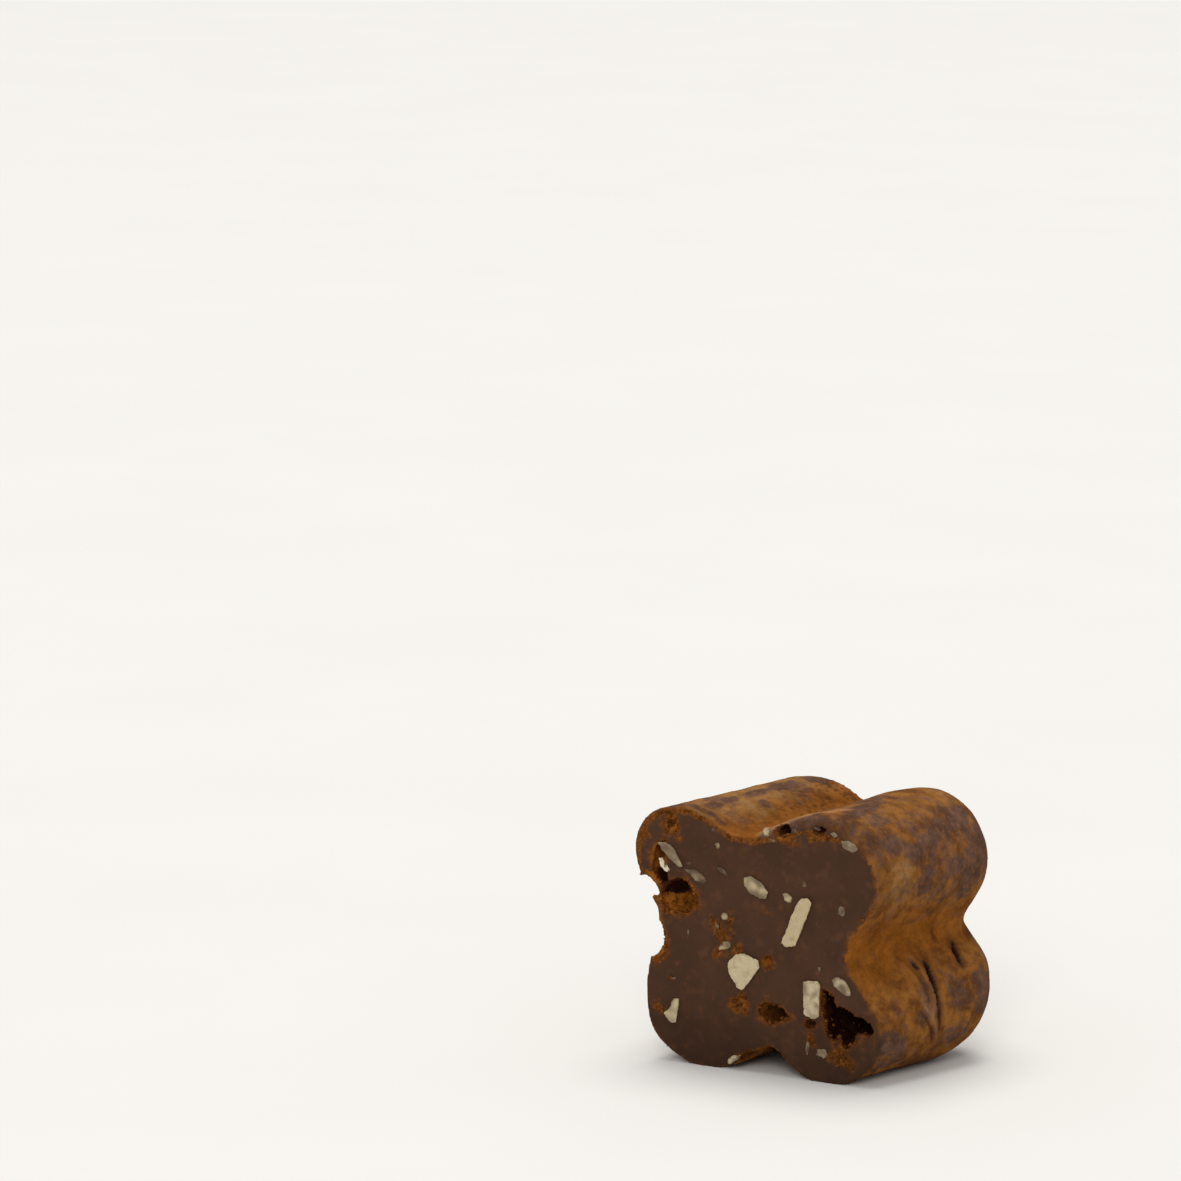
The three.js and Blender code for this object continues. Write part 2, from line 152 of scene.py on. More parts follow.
def soft_min(a, b, width):
    h = np.clip(0.5 + 0.5 * (b - a) / width, 0, 1)
    return b + (a - b) * h - width * h * (1 - h)


def outside(x, z, share):
    gaps = []
    for lobe in LOBES:
        reach = np.hypot(x - mix(lobe["x"], share), z - mix(lobe["z"], share))
        gaps.append(reach - mix(lobe["r"], share))
    joined = []
    for i, groove in enumerate(GROOVES):
        joined.append(soft_min(gaps[i], gaps[(i + 1) % 4], mix(groove, share)))
    core = np.hypot(x - CORE["x"], z - CORE["z"]) - CORE["r"]
    return soft_min(np.minimum.reduce(joined), core, CORE["soft"])


def outline_reach(angle, share):
    inner = np.zeros_like(angle)
    outer = np.full_like(angle, FURTHEST)
    for _ in range(HALVINGS):
        reach = (inner + outer) / 2
        x = CORE["x"] + reach * np.sin(angle)
        z = CORE["z"] + reach * np.cos(angle)
        is_in = outside(x, z, share) < 0
        inner = np.where(is_in, reach, inner)
        outer = np.where(is_in, outer, reach)
    return inner


def uneven(points, wave):
    total = np.zeros(len(points))
    for k in range(wave["seed"], wave["seed"] + WAVES):
        turn = WAVE_TURN * k
        rise = math.cos(WAVE_RISE * k)
        flat = math.sqrt(1 - rise * rise)
        way = np.array((flat * math.cos(turn), flat * math.sin(turn), rise))
        total += np.sin(2 * math.pi * (points @ way) / wave["size"] + turn)
    return total / WAVES


def round_gap(degrees, middle):
    return (degrees - middle + 180) % 360 - 180


def hump_at(degrees, middle, spread, power):
    return np.exp(-(np.abs(round_gap(degrees, middle) / spread) ** power))


def at_reach(angle, y, reach):
    share = along(y)
    x, z = np.sin(angle) * reach, np.cos(angle) * reach
    return np.stack([CORE["x"] + x, y + mix(LEAN, share) * x + END_RISE * share * z, CORE["z"] + z], -1)


all_round = np.radians(np.arange(0.0, 360.0, 5.0))
widest = outline_reach(all_round, np.zeros_like(all_round)).max()
print("the section reaches", round(float(widest), 2), "mm from its middle")

# %% [markdown]
# ## Small tools for meshes
#
# A piece is modelled in a bmesh, in millimetres, and becomes an object. Modifiers are applied at
# once, so that the next step can work on the mesh that they made.


# %% Mesh helpers
def new_object(name, bm):
    mesh = bpy.data.meshes.new(name)
    bm.to_mesh(mesh)
    bm.free()
    obj = bpy.data.objects.new(name, mesh)
    bpy.context.scene.collection.objects.link(obj)
    return obj


def apply_modifiers(obj):
    ready = obj.evaluated_get(bpy.context.evaluated_depsgraph_get())
    mesh = bpy.data.meshes.new_from_object(ready)
    obj.modifiers.clear()
    obj.data = mesh


def points_of(mesh):
    flat = np.empty(len(mesh.vertices) * 3)
    mesh.vertices.foreach_get("co", flat)
    return flat.reshape(-1, 3)


def normals_of(mesh):
    flat = np.empty(len(mesh.vertices) * 3)
    mesh.vertex_normals.foreach_get("vector", flat)
    return flat.reshape(-1, 3)


def set_points(mesh, points):
    mesh.vertices.foreach_set("co", points.ravel())
    mesh.update()


def set_values(mesh, name, values):
    layer = mesh.attributes.new(name, "FLOAT", "POINT")
    layer.data.foreach_set("value", np.asarray(values, dtype=np.float32))


def grain(points, size, seed):
    shift = Vector((seed * 13.7, seed * -7.1, seed * 3.3))
    return np.array([noise.noise(Vector(p) / size + shift) for p in points])


# %% [markdown]
# ## The bar
#
# A turned shape is the quickest closed start. A profile runs from the middle of the cut end out to
# its edge, along the side, round the far edge and back to the axis. Spun round once, it is a plain
# round bar. Each of its points is then moved out to the lobed outline in its own direction.


# %% Spin the profile
SPIN_STEPS = 240
EDGE_GAPS = (1.3, 1.1, 0.9, 0.7, 0.5, 0.3, 0.15, 0.08, 0.03)  # rings crowd at the cut end's edge
RINGS = {"cut": 10, "side": 30, "round": 13, "end": 9}


def bar_profile():
    profile = [(0.0, CUT_Y)]
    for reach in np.linspace(1, 8.5, RINGS["cut"]):
        profile.append((reach, CUT_Y))
    for gap in EDGE_GAPS:
        profile.append((FULL_REACH - gap, CUT_Y))
    for gap in reversed(EDGE_GAPS):
        profile.append((FULL_REACH, CUT_Y + gap))
    for y in np.linspace(CUT_Y + 1.6, ROUND_Y, RINGS["side"]):
        profile.append((FULL_REACH, y))
    for turn in np.linspace(0, math.pi / 2, RINGS["round"])[1:]:
        reach = FULL_REACH - END_ROUND * (1 - math.cos(turn))
        profile.append((reach, ROUND_Y + END_ROUND * math.sin(turn)))
    for share in np.linspace(0.9, 0, RINGS["end"]):
        reach = share * (FULL_REACH - END_ROUND)
        profile.append((reach, LENGTH / 2 + END_BULGE * (1 - share * share)))
    return profile


def spin_bar(steps):
    bm = bmesh.new()
    line = [bm.verts.new((reach, y, 0)) for reach, y in bar_profile()]
    edges = [bm.edges.new(pair) for pair in zip(line, line[1:])]
    turn = {"angle": 2 * math.pi, "axis": (0, 1, 0), "cent": (0, 0, 0)}
    bmesh.ops.spin(bm, geom=line + edges, steps=steps, use_merge=True, **turn)
    bmesh.ops.remove_doubles(bm, verts=bm.verts, dist=1e-4)
    bmesh.ops.recalc_face_normals(bm, faces=bm.faces)
    return bm


bar_bm = spin_bar(SPIN_STEPS)
print("turned bar:", len(bar_bm.faces), "faces")


# %% [markdown]
# The cut end's edge is crisp nearly all round, but along the top right lobe it has worn to a round
# shoulder. The eased edge slides each point near the sharp edge onto a quarter circle. The uncut
# end is rounded off much further, and most of all on the lower right lobe.


# %% Draw the rings out to the lobes
def eased(inset, back, radius):
    gap = np.maximum(inset, back)
    swing = np.clip(1 - gap / radius, 0, 1) * math.pi / 4
    turn = np.where(inset > back, swing, math.pi / 2 - swing)
    is_near = gap < radius
    new_inset = np.where(is_near, radius * (1 - np.sin(turn)), inset)
    new_back = np.where(is_near, radius * (1 - np.cos(turn)), back)
    return new_inset, new_back


def edge_round(degrees):
    return CUT_EDGE + WORN_EDGE["size"] * hump_at(degrees, WORN_EDGE["middle"], WORN_EDGE["spread"], 4)


def end_round(degrees):
    more = [size * hump_at(degrees, middle, BLUNT_SPREAD, 2) for middle, size in BLUNTER_LOBES]
    return END_ROUND + sum(more)


def drawn_y(y, size):
    side = np.where(y < 0, y, y * (LENGTH / 2 - size) / ROUND_Y)
    end = np.where(y > LENGTH / 2, y, LENGTH / 2 - (LENGTH / 2 - y) * size / END_ROUND)
    return np.where(y < ROUND_Y, side, end)


def drawn_inset(nominal, full, size):
    share = nominal / (FULL_REACH - END_ROUND)
    inner = full - share * mix((END_FACE, full - size), share)
    return np.where(share > 1, (FULL_REACH - nominal) * size / END_ROUND, inner)


def draw_out(points):
    nominal = np.hypot(points[:, 0], points[:, 2])
    angle = np.arctan2(points[:, 0], points[:, 2])
    size = np.where(points[:, 1] < 0, END_ROUND, end_round(np.degrees(angle)))
    y = drawn_y(points[:, 1], size)
    full = outline_reach(angle, along(y))
    inset = drawn_inset(nominal, full, size)
    new_inset, back = eased(inset, y - CUT_Y, edge_round(np.degrees(angle)))
    on_cut = y - CUT_Y < 0.01
    cut_lift = np.where(on_cut, CUT_WAVE["height"] * uneven(points, CUT_WAVE), 0)
    fade = np.where(on_cut, ramp(0, 1, 1 - inset), 1)
    skin_lift = fade * SKIN_WAVE["height"] * uneven(points, SKIN_WAVE)
    endways = np.clip((points[:, 1] - ROUND_Y) / END_ROUND, 0, 1)
    reach = full - new_inset + skin_lift * np.sqrt(1 - endways**2)
    return at_reach(angle, CUT_Y + back - cut_lift + skin_lift * endways, reach)


SKIN, CUT, HOLLOW = range(3)  # the kinds of face
bar_bm.faces.ensure_lookup_table()
for face in bar_bm.faces:
    middle = face.calc_center_median()
    degrees = math.degrees(math.atan2(middle.x, middle.z))
    is_flat = middle.y - CUT_Y < 0.001
    from_edge = FULL_REACH - math.hypot(middle.x, middle.z)
    face.material_index = CUT if is_flat and from_edge > edge_round(degrees) * 0.9 else SKIN
bar = new_object("bar", bar_bm)
set_points(bar.data, draw_out(points_of(bar.data)))
box = points_of(bar.data)
print("bar:", np.round(box.max(0) - box.min(0), 2), "mm")


# %% [markdown]
# ## Places on the piece
#
# Hollows and nuts are given by where they lie on the cut end. Cracks are given by an angle round
# the bar, clockwise from the top, and by a distance along it.


# %% Find a place on the cut end or on the skin
CUT_NORMAL = Vector((LEAN[0], -1, 0)).normalized()
UP = Vector((0, 0, 1))


def on_cut(x, z, under=0.0):
    return Vector((x, CUT_Y + LEAN[0] * (x - CORE["x"]), z)) - CUT_NORMAL * under


def on_skin(degrees, y, under=0.0):
    angle, y = np.array([math.radians(degrees)]), np.array([y])
    return Vector(at_reach(angle, y, outline_reach(angle, along(y)) - under)[0])


def skin_normal(place):
    return Vector((place.x - CORE["x"], 0, place.z - CORE["z"])).normalized()


def stand_on(place, outward, clockwise):
    wide = UP.cross(outward).normalized()
    high = outward.cross(wide).normalized()
    columns = Matrix((wide, -outward, high)).transposed().to_4x4()
    return Matrix.Translation(place) @ columns @ Matrix.Rotation(math.radians(clockwise), 4, "Y")


print("middle of the cut end:", on_cut(0, 10))

# %% [markdown]
# ## Hollows
#
# Air and loose crumbs left hollows in the paste, and the knife opened them. Each is cut with a
# lumpy ball: an icosphere whose corners are pushed in and out by slow waves for its form, and by
# finer noise for torn walls. Booleans do the cutting, which leaves each wall its own face index.

# %% The hollows of the cut end
HOLLOWS = table(
    "name at size deep turn",
    ("side hollow", (-5.95, 12.45), (2.9, 2.8), 1.8, 0),
    ("side break", (-8.3, 13.05), (1.7, 1.8), 0.9, 10),
    ("lost flake", (-7.75, 9.1), (1.5, 2.8), 1.1, -6),
    ("lower hole left", (6.05, 5.2), (1.5, 3.5), 2.8, -13),
    ("lower hole middle", (7.1, 4.6), (2.4, 2.3), 3.2, 0),
    ("lower hole right", (8.3, 4.6), (2.2, 1.35), 2.6, 20),
    ("lower hole foot", (7.5, 3.55), (1.2, 1.6), 1.6, 0),
    ("lower slot", (1.5, 4.65), (2.3, 1.4), 1.3, 8),
    ("left slot", (-1.3, 5.0), (0.8, 1.0), 0.6, 0),
    ("pit by the chunk", (1.1, 8.4), (0.6, 0.8), 0.5, 0),
    ("pit under block", (4.5, 4.3), (1.0, 0.6), 0.7, 15),
    ("bottom recess", (-0.1, 1.3), (2.2, 0.8), 0.9, -10),
    ("top left pit", (-6.7, 17.7), (0.7, 0.9), 0.7, 20),
    ("edge pit left", (2.2, 18.1), (1.4, 0.9), 1.1, -12),
    ("edge pit right", (5.1, 18.5), (1.1, 0.6), 0.9, 0),
)
SUNK = 0.3  # the share of a hollow's depth at which the lump's middle lies


def lump(name, seed, roughness, torn):
    bm = bmesh.new()
    bmesh.ops.create_icosphere(bm, subdivisions=5, radius=1)
    for face in bm.faces:
        face.material_index = HOLLOW
    obj = new_object(name, bm)
    ball = points_of(obj.data)
    wide = roughness * uneven(ball, {"size": 1.7, "seed": seed})
    fine = torn * (grain(ball, 0.3, seed) + 0.5 * grain(ball, 0.14, seed + 1))
    set_points(obj.data, ball * (1 + wide + fine)[:, None])
    return obj


def hollow_cutter(hollow, seed):
    obj = lump("cutter", seed, 0.28, 0.1)
    wide, high = hollow["size"]
    stretch = Matrix.Diagonal((wide / 2, hollow["deep"] * (1 - SUNK), high / 2, 1))
    place = on_cut(*hollow["at"], hollow["deep"] * SUNK)
    obj.data.transform(stand_on(place, CUT_NORMAL, hollow["turn"]) @ stretch)
    return obj


cutters = [hollow_cutter(hollow, 11 + i) for i, hollow in enumerate(HOLLOWS)]
print(len(cutters), "hollows")


# %% [markdown]
# A channel leads up from the side hollow behind the top left lobe, and the skin has three cracks.
# These are the same lump drawn out along a path, so that it thins towards both ends. A tail above
# 1 puts the widest part nearer to the start and lets the far end run out in a hair.


# %% The channel and the cracks
CHANNEL = {"path": ((-6.9, 13.3), (-7.5, 14.3), (-7.5, 15.6), (-7.0, 16.3)), "wide": 0.95, "deep": 1.3}
CRACKS = table(
    "from to bow wide deep tail",
    ((99.5, -0.45), (121, -0.8), -0.5, 0.38, 0.8, 2.1),
    ((94.5, 3.4), (103.5, 2.7), -0.15, 0.4, 0.6, 1.3),
    ((99.5, -1.85), (102, -1.65), 0.0, 0.3, 0.4, 1.0),
)
PATH_STEPS = 13


def drawn_lump(places, outward_at, wide, deep, tail, seed):
    obj = lump("cutter", seed, 0.2, 0.08)
    last = len(places) - 1
    moved = []
    for x, y, z in points_of(obj.data):
        spot = min(max((z + 1) / 2, 0), 1) ** tail * last
        i = min(int(spot), last - 1)
        middle = places[i].lerp(places[i + 1], spot - i)
        outward = outward_at(middle)
        aside = outward.cross(places[i + 1] - places[i]).normalized()
        moved.append(middle + aside * (x * wide / 2) + outward * (y * deep))
    set_points(obj.data, np.array(moved))
    return obj


def crack_places(crack):
    places = []
    for share in np.linspace(0, 1, PATH_STEPS):
        degrees = mix((crack["from"][0], crack["to"][0]), share)
        y = mix((crack["from"][1], crack["to"][1]), share) + crack["bow"] * math.sin(math.pi * share)
        places.append(on_skin(degrees, y))
    return places


def curve_through(corners, steps):
    rows = np.array([tuple(corner) for corner in corners])
    knots = np.linspace(0, 1, len(rows))
    shares = np.linspace(0, 1, steps)
    bends = np.polyfit(knots, rows, len(rows) - 1)
    return [Vector(np.polyval(bends[:, axis], s) for axis in range(3)) for s in shares]


channel_places = curve_through([on_cut(*at) for at in CHANNEL["path"]], PATH_STEPS)
channel_size = CHANNEL["wide"], CHANNEL["deep"], 1.0
cutters.append(drawn_lump(channel_places, lambda place: CUT_NORMAL, *channel_size, 31))
for i, crack in enumerate(CRACKS):
    crack_size = crack["wide"], crack["deep"], crack["tail"]
    cutters.append(drawn_lump(crack_places(crack), skin_normal, *crack_size, 41 + i))
print(len(cutters), "cutters with the channel and the cracks")

# %% [markdown]
# Three shallow dents in the skin were pressed by fingers. They belong to the skin, so that cocoa
# lies in them too, and their cutters carry the skin's face index.

# %% The dents
DENTS = table(
    "name at size deep",
    ("groove dent", (94.7, -2.5), (1.2, 0.9), 0.25),
    ("lower left dent", (210, 3.0), (2.4, 1.6), 0.3),
    ("left dent", (268, -2.5), (2.0, 2.6), 0.3),
)
DENT_HALF = 0.6  # half the thickness of the lump that presses a dent


def dent_cutter(dent, seed):
    obj = lump("cutter", seed, 0.1, 0.0)
    for face in obj.data.polygons:
        face.material_index = SKIN
    wide, high = dent["size"]
    place = on_skin(*dent["at"], dent["deep"] - DENT_HALF)
    met = math.sqrt(1 - (1 - dent["deep"] / DENT_HALF) ** 2)
    stretch = Matrix.Diagonal((wide / 2 / met, DENT_HALF, high / 2 / met, 1))
    obj.data.transform(stand_on(place, skin_normal(place), 0) @ stretch)
    return obj


for i, dent in enumerate(DENTS):
    cutters.append(dent_cutter(dent, 51 + i))
print(len(cutters), "cutters in all")


# %% Cut the hollows
def cut_away(obj, tools):
    shelf = bpy.data.collections.new("tools")
    for tool in tools:
        shelf.objects.link(tool)
    cut = obj.modifiers.new("cut", "BOOLEAN")
    cut.operation = "DIFFERENCE"
    cut.operand_type = "COLLECTION"
    cut.collection = shelf
    cut.solver = "MANIFOLD"
    apply_modifiers(obj)
    for tool in tools:
        bpy.data.objects.remove(tool)
    bpy.data.collections.remove(shelf)


cut_away(bar, cutters)
print("after cutting:", len(bar.data.polygons), "faces")


# %% [markdown]
# ## An even skin of small faces
#
# The Boolean leaves faces of very different sizes. A voxel remesh lays one even net over the whole
# form, fine enough to carry crumbs and powder. It forgets which faces were skin, cut end or
# hollow, so each new point asks the old mesh for the kind of its nearest face. The Boolean leaves
# its faces in a new order each time, so they are sorted first, and a tie always ends the same way.


# %% Remesh and sort the points
BODY_VOXEL = 0.154  # a finer net would pass the budget of faces


def even_mesh(obj, size):
    even = obj.modifiers.new("even", "REMESH")
    even.mode = "VOXEL"
    even.voxel_size = size
    apply_modifiers(obj)


def from_lowest(corners):
    start = corners.index(min(corners))
    return corners[start:] + corners[:start]


def kind_finder(mesh):
    places = [vert.co for vert in mesh.vertices]
    faces = sorted((from_lowest(tuple(face.vertices)), face.material_index) for face in mesh.polygons)
    tree = BVHTree.FromPolygons(places, [corners for corners, kind in faces])
    return lambda points: np.array([faces[tree.find_nearest(p)[2]][1] for p in points])


def gap_to(points, others):
    tree = KDTree(len(others))
    for i, other in enumerate(others):
        tree.insert(other, i)
    tree.balance()
    return np.array([tree.find(p)[2] for p in points])


find_kinds = kind_finder(bar.data)
even_mesh(bar, BODY_VOXEL)
points = points_of(bar.data)
kinds = find_kinds(points)
gap_to_skin = gap_to(points, points[kinds == SKIN])
gap_to_cut = gap_to(points, points[kinds == CUT])
gap_to_hollow = gap_to(points, points[kinds == HOLLOW])
print("even mesh:", len(points), "points,", [int((kinds == k).sum()) for k in (SKIN, CUT, HOLLOW)])

# %% [markdown]
# ## Places on the skin
#
# A point on the skin is known by its angle round the bar, by how far along the bar it lies, and by
# its reach from the middle. Patches, folds and dents are all laid out in these three.


# %% Unroll the skin
UNROLL_STEPS = 8  # the lean depends on the place that is looked for, so it is found step by step


def unroll(points):
    x, z = points[:, 0] - CORE["x"], points[:, 2] - CORE["z"]
    y = points[:, 1].copy()
    for _ in range(UNROLL_STEPS):
        share = along(y)
        y = points[:, 1] - mix(LEAN, share) * x - END_RISE * share * z
    return {"degrees": np.degrees(np.arctan2(x, z)) % 360, "y": y, "reach": np.hypot(x, z)}


def from_spot(skin, at):
    around = np.radians(round_gap(skin["degrees"], at[0])) * skin["reach"]
    return skin["y"] - at[1], around


def spot(skin, at, size, ragged=0.0):
    ahead, around = from_spot(skin, at)
    gap = np.hypot(ahead / (size[0] / 2), around / (size[1] / 2))
    return 1 - ramp(0.45, 1.35, gap + ragged)


skin = unroll(points)
in_groove = (1 - ramp(0.9, 3.4, skin["reach"] - CORE["r"])) * (1 - 0.85 * ramp(6.5, 8.5, skin["y"]))
print("points in the grooves:", int((in_groove > 0.5).sum()))

# %% [markdown]
# ## Relief of the skin
#
# Cocoa powder cakes into soft lumps, so the skin's relief is a sum of noises whose sizes are those
# of the cake: two millimetres for the pressed form, under one for the caked powder, and a third of
# one for its grain. The far half of the top left lobe took up coarser powder, which stays gritty.

# %% Powder relief
PRESSED = {"size": 2.2, "height": 0.08, "seed": 1}
CAKED = {"size": 0.9, "height": 0.03, "seed": 2}
GRAINY = {"size": 0.38, "height": 0.012, "seed": 3}
COARSE = {"size": 0.32, "height": 0.15, "seed": 4}


def relief(points, noise_of):
    return noise_of["height"] * grain(points, noise_of["size"], noise_of["seed"])


coarse = np.maximum(spot(skin, (347, 3.8), (13, 4.6)), 0.5 * spot(skin, (346, -3.0), (9, 3)))
coarse *= 1 - ramp(6.0, 7.5, skin["y"])
coarse_relief = relief(points, COARSE)
skin_relief = relief(points, PRESSED) + relief(points, CAKED) + relief(points, GRAINY)
skin_relief += coarse * coarse_relief
print("skin relief:", np.round([skin_relief.min(), skin_relief.max()], 2), "mm")

# %% [markdown]
# As the paste dried, the lower right lobe drew into fine curved folds beside its long crack. Each
# fold is an arc on the unrolled skin: a low rounded crest with a shallow furrow on its inner side.
# The hidden sides get a few of the same.

# %% Folds beside the crack
FOLDS = table(
    "at radius from to wide high",
    ((127.9, -4.2), 3.3, -85, 5, 0.26, 0.14),
    ((127.9, -4.3), 2.5, -70, -5, 0.24, 0.06),
    ((117.0, -8.0), 7.6, -18, 12, 0.26, 0.06),
    ((117.0, -8.0), 10.4, -12, 12, 0.34, 0.07),
    ((108.5, -8.0), 6.35, -24, 24, 0.3, 0.1),
    ((215.0, 1.0), 3.0, -60, 70, 0.22, 0.08),
    ((215.0, 0.6), 2.3, -50, 50, 0.2, 0.06),
    ((298.0, -1.0), 3.4, -40, 60, 0.24, 0.08),
    ((76.0, 1.5), 3.0, 20, 80, 0.22, 0.05),
)


def fold_relief(skin, fold, wander):
    ahead, around = from_spot(skin, fold["at"])
    turn = np.degrees(np.arctan2(around, ahead))
    soft = (fold["to"] - fold["from"]) / 3
    ends = ramp(fold["from"], fold["from"] + soft, turn)
    ends = ends * (1 - ramp(fold["to"] - soft, fold["to"], turn))
    across = (np.hypot(ahead, around) + wander - fold["radius"]) / fold["wide"]
    crest = np.exp(-(across**2)) - 0.7 * np.exp(-((across + 1.5) ** 2))
    return fold["high"] * ends * crest


wander = 0.4 * grain(points, 2.5, 5)
folded = sum(fold_relief(skin, fold, wander) for fold in FOLDS)
skin_relief += folded
print(len(FOLDS), "folds")

# %% [markdown]
# ## Relief of the cut end and of the hollows
#
# A knife leaves the paste almost flat: a slow waviness, faint drag lines down the stroke, and
# small nicks where crumbs tore out. The walls of the hollows are torn, so they are rough.

# %% Nicks in the cut end
NICKS = table(
    "path wide deep",
    (((-7.5, 18.4), (-6.8, 18.5), (-6.25, 18.1), (-6.2, 17.3)), 0.5, 0.3),
    (((-8.85, 17.5), (-8.55, 16.8)), 0.5, 0.2),
    (((-3.1, 10.9), (-2.6, 10.3), (-2.4, 9.6)), 0.5, 0.25),
    (((-1.75, 11.2), (-1.9, 10.6)), 0.35, 0.2),
    (((-2.7, 9.0), (-2.9, 8.6)), 0.4, 0.2),
    (((-0.9, 5.6), (-0.5, 5.1), (-0.6, 4.6)), 0.35, 0.15),
    (((3.1, 18.35), (4.3, 18.5)), 0.4, 0.2),
    (((6.6, 18.6), (7.6, 18.4)), 0.4, 0.2),
    (((-7.9, 4.2), (-7.2, 3.9)), 0.3, 0.15),
    (((4.5, 3.5), (4.6, 2.9)), 0.4, 0.2),
    (((6.3, 2.1), (7.2, 2.2), (7.7, 1.7)), 0.6, 0.2),
    (((-1.1, 9.2), (-1.5, 8.9)), 0.3, 0.15),
)


def gap_to_segment(away, way):
    share = np.clip(away @ way / (way @ way), 0, 1)
    return np.hypot(*(away - share[:, None] * way).T)


def gap_to_path(points, path):
    flat = points[:, (0, 2)]
    ends = np.array(path)
    gaps = [gap_to_segment(flat - start, end - start) for start, end in zip(ends, ends[1:])]
    return np.minimum.reduce(gaps)


FAR = 9.0
is_cut = kinds == CUT
ragged = 0.16 * grain(points, 0.45, 6) + 0.08 * grain(points, 0.2, 7)
nick_depth = np.zeros(len(points))
gap_to_nick = np.full(len(points), FAR)
for nick in NICKS:
    gap = gap_to_path(points, nick["path"]) + ragged
    nick_depth = np.maximum(nick_depth, nick["deep"] * (1 - ramp(0, nick["wide"] / 2, gap)))
    gap_to_nick = np.minimum(gap_to_nick, np.maximum(gap - nick["wide"] / 2, 0))
print(len(NICKS), "nicks,", int((is_cut & (nick_depth > 0.05)).sum()), "points in them")

# %% Move the surface
SMEARED = {"size": 1.7, "height": 0.035, "seed": 8}
PITTED = {"size": 0.45, "height": 0.02, "seed": 9}
TORN = {"size": 0.75, "height": 0.2, "seed": 10}
CRUMBLY = {"size": 0.34, "height": 0.12, "seed": 11}
DRAG = {"size": 0.5, "height": 0.015, "seed": 12, "drawn": 9}


def drag_lines(points):
    drawn = points * (1, 1, 1 / DRAG["drawn"])
    return DRAG["height"] * grain(drawn, DRAG["size"], DRAG["seed"])


cut_relief = relief(points, SMEARED) + relief(points, PITTED) + drag_lines(points) - nick_depth
hollow_relief = relief(points, TORN) + relief(points, CRUMBLY)
skin_share = 1 - ramp(0, 0.3, gap_to_skin)
hollow_share = (1 - ramp(0, 0.3, gap_to_hollow)) * (1 - skin_share)
cut_share = 1 - skin_share - hollow_share
lift = skin_share * skin_relief + hollow_share * hollow_relief + cut_share * cut_relief
rims = np.exp(-np.minimum(gap_to_hollow, gap_to_nick) / 0.3) * is_cut
lift += 0.1 * rims * grain(points, 0.3, 13)
moved = points + normals_of(bar.data) * lift[:, None]
moved[:, 2] = np.maximum(moved[:, 2], FOOT_DEPTH)
set_points(bar.data, moved)
print("surface moved by", np.round([lift.min(), lift.max()], 2), "mm")

# %% [markdown]
# ## What lies where
#
# The finish of each point is kept in a few attributes between 0 and 1, which the material reads.
# They say how much of the cut end, of a hollow, or of bare chocolate there is. Rubbed patches show
# the grey-brown chocolate under the cocoa, and each is laid out by its place, length and width.
# Here and there fresh cocoa fell on them again. On the hidden sides they lie at random.

# %% Bare patches
BARE_SPOTS = (  # degrees and place along the bar, length and width in mm, how bare
    ("crown patch", (62.5, 2.8), (7.0, 3.8), 0.72),
    ("crown patch middle", (58, 3.8), (3.6, 4.6), 0.72),
    ("crown patch end", (55, 5.0), (2.2, 5.4), 0.9),
    ("second patch", (46, 3.2), (4.4, 2.4), 0.95),
    ("second patch foot", (48.5, 0.7), (4.0, 1.8), 0.95),
    ("slanting patch", (51, -1.4), (3.6, 2.0), 0.85),
    ("slanting patch foot", (54, -3.4), (3.0, 1.6), 0.9),
    ("small patch", (64, -2.3), (2.6, 2.3), 1.0),
    ("round the patches", (52, 0.5), (14.0, 7.4), 0.45),
    ("near corner patch", (46, -7.0), (2.4, 5.6), 0.5),
    ("near patch", (50, -5.2), (4.0, 1.8), 0.7),
    ("beside the ridge", (38, -5.2), (3.6, 2.0), 0.5),
    ("under the ridge", (20, -7.75), (0.8, 6.0), 0.9),
    ("near corner", (36, -7.5), (1.2, 3.6), 0.5),
    ("near streak", (67.5, -5.0), (3.8, 1.0), 0.4),
    ("behind the ridge", (30, -3.6), (3.6, 1.7), 0.9),
    ("behind the ridge end", (24, -1.2), (3.6, 1.8), 0.7),
    ("behind the ridge foot", (33, -5.8), (3.2, 1.7), 0.9),
    ("far lower patch", (112.5, 4.6), (2.8, 3.6), 1.0),
    ("far lower end", (108, 6.8), (2.4, 5.0), 0.7),
    ("low edge patch", (123.5, -6.0), (4.2, 2.0), 0.9),
    ("low edge", (130, -5.0), (5.0, 2.4), 0.5),
    ("low streak", (123, 1.6), (4.2, 2.0), 0.5),
    ("patch beside the fold", (116, -3.0), (1.8, 1.6), 0.6),
    ("patch by the crack", (110, 1.2), (3.0, 3.0), 0.6),
    ("beside the long crack", (112, -2.0), (2.4, 3.0), 0.5),
    ("top left corner", (330, -7.4), (1.0, 4.0), 0.7),
    ("top left near", (332.5, -6.0), (2.2, 1.0), 0.9),
    ("top left streak", (332, -4.2), (2.0, 0.8), 1.0),
    ("top left inner", (339, -2.3), (1.6, 0.8), 0.7),
    ("top left middle", (333, -1.7), (3.0, 1.0), 0.65),
    ("top left far", (333.5, 1.3), (3.8, 1.3), 0.8),
    ("top left end", (334.5, 4.6), (2.2, 1.6), 1.0),
    ("round the top left", (333, -0.5), (15.0, 3.2), 0.12),
    ("underside", (175, 0.5), (12.0, 7.0), 0.9),
    ("under the right lobe", (142, 0.0), (13.0, 2.0), 0.6),
)
FRESH_SPOTS = (  # the same without a name, here and in the lists below
    ((61, -5.1), (4.0, 2.8), 1.0),
    ((49.5, -3.3), (0.9, 0.7), 1.0),
    ((56, 1.8), (2.6, 1.0), 0.8),
    ((116.5, -6.0), (2.6, 0.7), 0.9),
    ((75, -4.5), (5.0, 3.0), 0.8),
    ((337, -5.2), (2.6, 1.0), 0.8),
)
